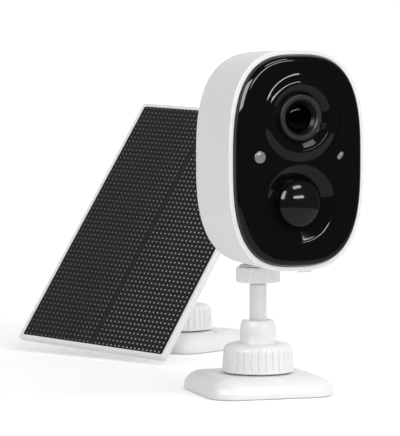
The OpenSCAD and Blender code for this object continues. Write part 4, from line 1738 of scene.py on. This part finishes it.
@dataclass
class KeptNodes:
    """The CAD nodes that are shown as they are, with better materials.

    Attributes:
        palette: The object's materials.
    """

    palette: Palette

    def build(self) -> None:
        """Dresses every node that no piece stands for."""
        for name, slot in NODE_SLOTS.items():
            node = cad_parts[name]
            self.palette.dress(node, slot)
            node.data.shade_smooth()
            node.data.set_sharp_from_angle(angle=math.radians(30))
            LOG.info("%s keeps its CAD shape, in %s", name, slot.value)


NODE_SLOTS: dict[str, Slot] = {
    "camera_foot_pad": Slot.RUBBER,
    "panel_foot_pad": Slot.RUBBER,
    "camera_ball_seat": Slot.CHASSIS,
    "panel_ball_seat": Slot.CHASSIS,
    "camera_slip_ring": Slot.STEEL,
    "panel_slip_ring": Slot.STEEL,
    "seam_gasket": Slot.RUBBER,
    "cover_gasket": Slot.RUBBER,
    "thread_insert": Slot.BRASS,
    "panel_thread_insert": Slot.BRASS,
    "image_sensor": Slot.CHIP,
    "pir_sensor": Slot.STEEL,
    "sensor_board": Slot.BOARD,
    "infrared_leds": Slot.LAMP,
    "microphone": Slot.STEEL,
    "chassis": Slot.CHASSIS,
    "chassis_screws": Slot.STEEL,
    "main_board": Slot.BOARD,
    "battery_cells": Slot.WRAP,
    "battery_tray": Slot.CHASSIS,
    "speaker": Slot.CHIP,
    "antenna": Slot.ANTENNA,
    "usb_socket": Slot.STEEL,
    "card_socket": Slot.STEEL,
    "reset_button": Slot.RUBBER,
    "charge_board": Slot.BOARD,
    "cable_gland": Slot.RUBBER,
    "panel_screws": Slot.STEEL,
}


# ---- Studio -----------------------------------------------------------------


@dataclass
class Softbox:
    """A rectangular light, placed by the directions that it fills as the object sees them.

    Attributes:
        name: Its name.
        turn: First and last direction in degrees, 0 along +X and 90 along +Y.
        lift: Lowest and highest direction above the horizon, in degrees.
        radiance: Its brightness.
        distance: How far away it stands, in metres.
        diffuse: Whether it lights matt surfaces as well as showing in glossy ones.
        glossy: Whether it shows in glossy surfaces.
    """

    name: str
    turn: tuple[float, float]
    lift: tuple[float, float]
    radiance: float
    distance: float = 1.5
    diffuse: bool = False
    glossy: bool = True

    def build(self, target: Vector) -> bpy.types.Object:
        """Puts the light in the scene.

        Args:
            target: The point that it faces.

        Returns:
            The light.
        """
        middle = math.radians(sum(self.turn) / 2)
        lift = math.radians(sum(self.lift) / 2)
        way = Vector((math.cos(lift) * math.cos(middle), math.cos(lift) * math.sin(middle), math.sin(lift)))
        data = bpy.data.lights.new(self.name, "AREA")
        data.shape = "RECTANGLE"
        data.size = 2 * self.distance * math.tan(math.radians(abs(self.turn[1] - self.turn[0])) / 2)
        data.size_y = 2 * self.distance * math.tan(math.radians(self.lift[1] - self.lift[0]) / 2)
        data.energy = self.radiance * math.pi * data.size * data.size_y
        light = bpy.data.objects.new(self.name, data)
        light.location = target + way * self.distance
        light.rotation_euler = (-way).to_track_quat("-Z", "Y").to_euler()
        light.visible_diffuse = self.diffuse
        light.visible_glossy = self.glossy
        light.visible_camera = False
        light.visible_transmission = self.glossy
        bpy.context.scene.collection.objects.link(light)
        return light


@dataclass
class Studio:
    """The floor, the light and the camera.

    Attributes:
        eye: Place of the camera, in metres.
        turn: Direction of view, in degrees from +Y towards +X.
        dip: How far the view looks down, in degrees.
        lens: Focal length in millimetres.
        target: The point that the lights face.
        fill: Brightness of the surroundings on matt surfaces.
        glow: How much brighter the floor looks than the light on it makes it, near the object and far from it.
        glow_reach: Distances at which those two hold, in metres.
    """

    eye: tuple[float, float, float] = (-0.6637, -1.3540, 0.1897)
    turn: float = 25.0
    dip: float = 3.853
    lens: float = 247.7
    target: tuple[float, float, float] = (0.0, -0.03, 0.12)
    fill: float = 0.66
    glow: tuple[float, float] = (0.24, 0.66)
    glow_reach: tuple[float, float] = (0.35, 1.2)

    def build(self) -> None:
        """Builds the whole studio."""
        self.camera()
        self.floor()
        self.surroundings()
        boxes = (
            Softbox("front softbox", (-98, -64), (15, 22), 12),
            Softbox("left softbox", (-180, -131), (14, 42), 9),
            Softbox("upper softbox", (-88, -63), (46, 55), 9),
            Softbox("key", (-90, -30), (25, 65), 1.9, diffuse=True, glossy=False),
            Softbox("front fill", (-115, -65), (0, 22), 1.5, diffuse=True, glossy=False),
        )
        for box in boxes:
            box.build(Vector(self.target))

    def camera(self) -> None:
        """The camera, level but for its dip."""
        data = bpy.data.cameras.new("view")
        data.sensor_width = 36.0
        data.lens = self.lens
        data.clip_end = 200
        camera = bpy.data.objects.new("view", data)
        camera.location = self.eye
        camera.rotation_euler = (math.radians(90 - self.dip), 0, -math.radians(self.turn))
        bpy.context.scene.collection.objects.link(camera)
        bpy.context.scene.camera = camera

    def floor(self) -> None:
        """A wide pale floor that glossy faces don't show; the surroundings stand for it there."""
        mesh = bmesh.new()
        bmesh.ops.create_grid(mesh, x_segments=24, y_segments=24, size=40.0)
        floor = wrap("studio_floor", mesh)
        material = bpy.data.materials.new("Pale floor")
        material.use_nodes = True
        nodes = Nodes(material.node_tree)
        shader = material.node_tree.nodes["Principled BSDF"]
        cloud = nodes.noise(nodes.place(), 3.0)
        nodes.feed(shader.inputs["Base Color"], nodes.mix(cloud, (0.9, 0.9, 0.9), (0.92, 0.92, 0.92)))
        shader.inputs["Roughness"].default_value = 0.9
        shader.inputs["Specular IOR Level"].default_value = 0.1
        seen = nodes.add("LightPath").outputs["Is Camera Ray"]
        away = nodes.add("VectorMath", operation="LENGTH")
        nodes.feed(away.inputs[0], nodes.place())
        glow = nodes.spread(away.outputs["Value"], self.glow_reach[0], self.glow_reach[1], *self.glow)
        nodes.feed(shader.inputs["Emission Color"], nodes.mix(seen, (0.0, 0.0, 0.0), glow))
        shader.inputs["Emission Strength"].default_value = 1.0
        floor.data.materials.append(material)
        floor.visible_glossy = False

    def surroundings(self) -> None:
        """Even light on matt faces; glossy faces see a pale table, a pale backdrop and a dark room."""
        world = bpy.data.worlds.new("studio")
        bpy.context.scene.world = world
        world.use_nodes = True
        nodes = Nodes(world.node_tree)
        world.node_tree.nodes.clear()
        split = nodes.add("SeparateXYZ")
        nodes.feed(split.inputs[0], nodes.add("TexCoord").outputs["Generated"])
        table = nodes.spread(split.outputs["Z"], -0.23, -0.25, 0.0, 0.5)
        back = nodes.spread(split.outputs["Y"], -0.05, 0.3, 0.0, 1.0)
        room = nodes.math("MAXIMUM", nodes.math("MAXIMUM", table, back), 0.04)
        shown = nodes.add("Background")
        nodes.feed(shown.inputs["Strength"], room)
        even = nodes.add("Background")
        even.inputs["Color"].default_value = (1, 1, 1, 1)
        path = nodes.add("LightPath")
        strength = nodes.mix(path.outputs["Is Camera Ray"], (self.fill,) * 3, (1.05,) * 3)
        nodes.feed(even.inputs["Strength"], strength)
        joined = nodes.add("MixShader")
        nodes.feed(joined.inputs[0], path.outputs["Is Glossy Ray"])
        nodes.feed(joined.inputs[1], even.outputs[0])
        nodes.feed(joined.inputs[2], shown.outputs[0])
        out = nodes.add("OutputWorld")
        nodes.feed(out.inputs[0], joined.outputs[0])
        bpy.context.scene.view_settings.view_transform = "Standard"


# ---- Building ---------------------------------------------------------------


@dataclass(frozen=True)
class Placing:
    """Where the two mounts stand, as in the CAD model.

    Attributes:
        foot_turn: Turn of the camera's foot, in degrees.
        panel_x: Sideways place of the panel's foot, in millimetres.
        panel_y: Depth of the panel's foot.
        panel_turn: Turn of the panel unit, in degrees.
        panel_lean: Lean of the panel back from upright, in degrees.
        panel_roll: Roll of the panel about its own post, in degrees.
        ball_z: Height of the ball's centre.
    """

    foot_turn: float = -8.0
    panel_x: float = 51.0
    panel_y: float = 205.0
    panel_turn: float = -65.0
    panel_lean: float = 37.5
    panel_roll: float = -2.5
    ball_z: float = 30.5

    def turned(self, degrees: float) -> Matrix:
        """A turn about the vertical."""
        return Matrix.Rotation(math.radians(degrees), 4, "Z")

    def panel_foot(self) -> Matrix:
        """The frame of the panel's foot."""
        return Matrix.Translation((self.panel_x * MM, self.panel_y * MM, 0)) @ self.turned(self.panel_turn)

    def panel_post(self) -> Matrix:
        """The frame of the panel's post, tipped about the ball's centre."""
        up = Matrix.Translation((0, 0, self.ball_z * MM))
        tip = Matrix.Rotation(math.radians(90 - self.panel_lean), 4, "X")
        return self.panel_foot() @ up @ tip @ up.inverted()

    def panel(self) -> Matrix:
        """The frame of the panel itself."""
        return self.panel_post() @ self.turned(self.panel_roll)


def main() -> None:
    """Builds the studio and the object, piece by piece, and reports each one."""
    logging.basicConfig(level=logging.INFO, format="%(name)s: %(message)s")
    Studio().build()
    palette = Palette()
    placing = Placing()
    half_turn = placing.turned(180)
    foot = placing.panel_foot()
    post = placing.panel_post()
    assemblies = (
        Casing(palette),
        Face(palette),
        BallMount(
            palette, unit=Unit.CAMERA, foot_place=placing.turned(placing.foot_turn), cup_place=half_turn),
        BallMount(
            palette, unit=Unit.PANEL, foot_place=foot, cup_place=foot, post_place=post, stud_top=71.0),
        SolarPanel(palette, place=placing.panel()),
    )
    for assembly in assemblies:
        assembly.build()
    KeptNodes(palette).build()


if __name__ == "__main__":
    main()
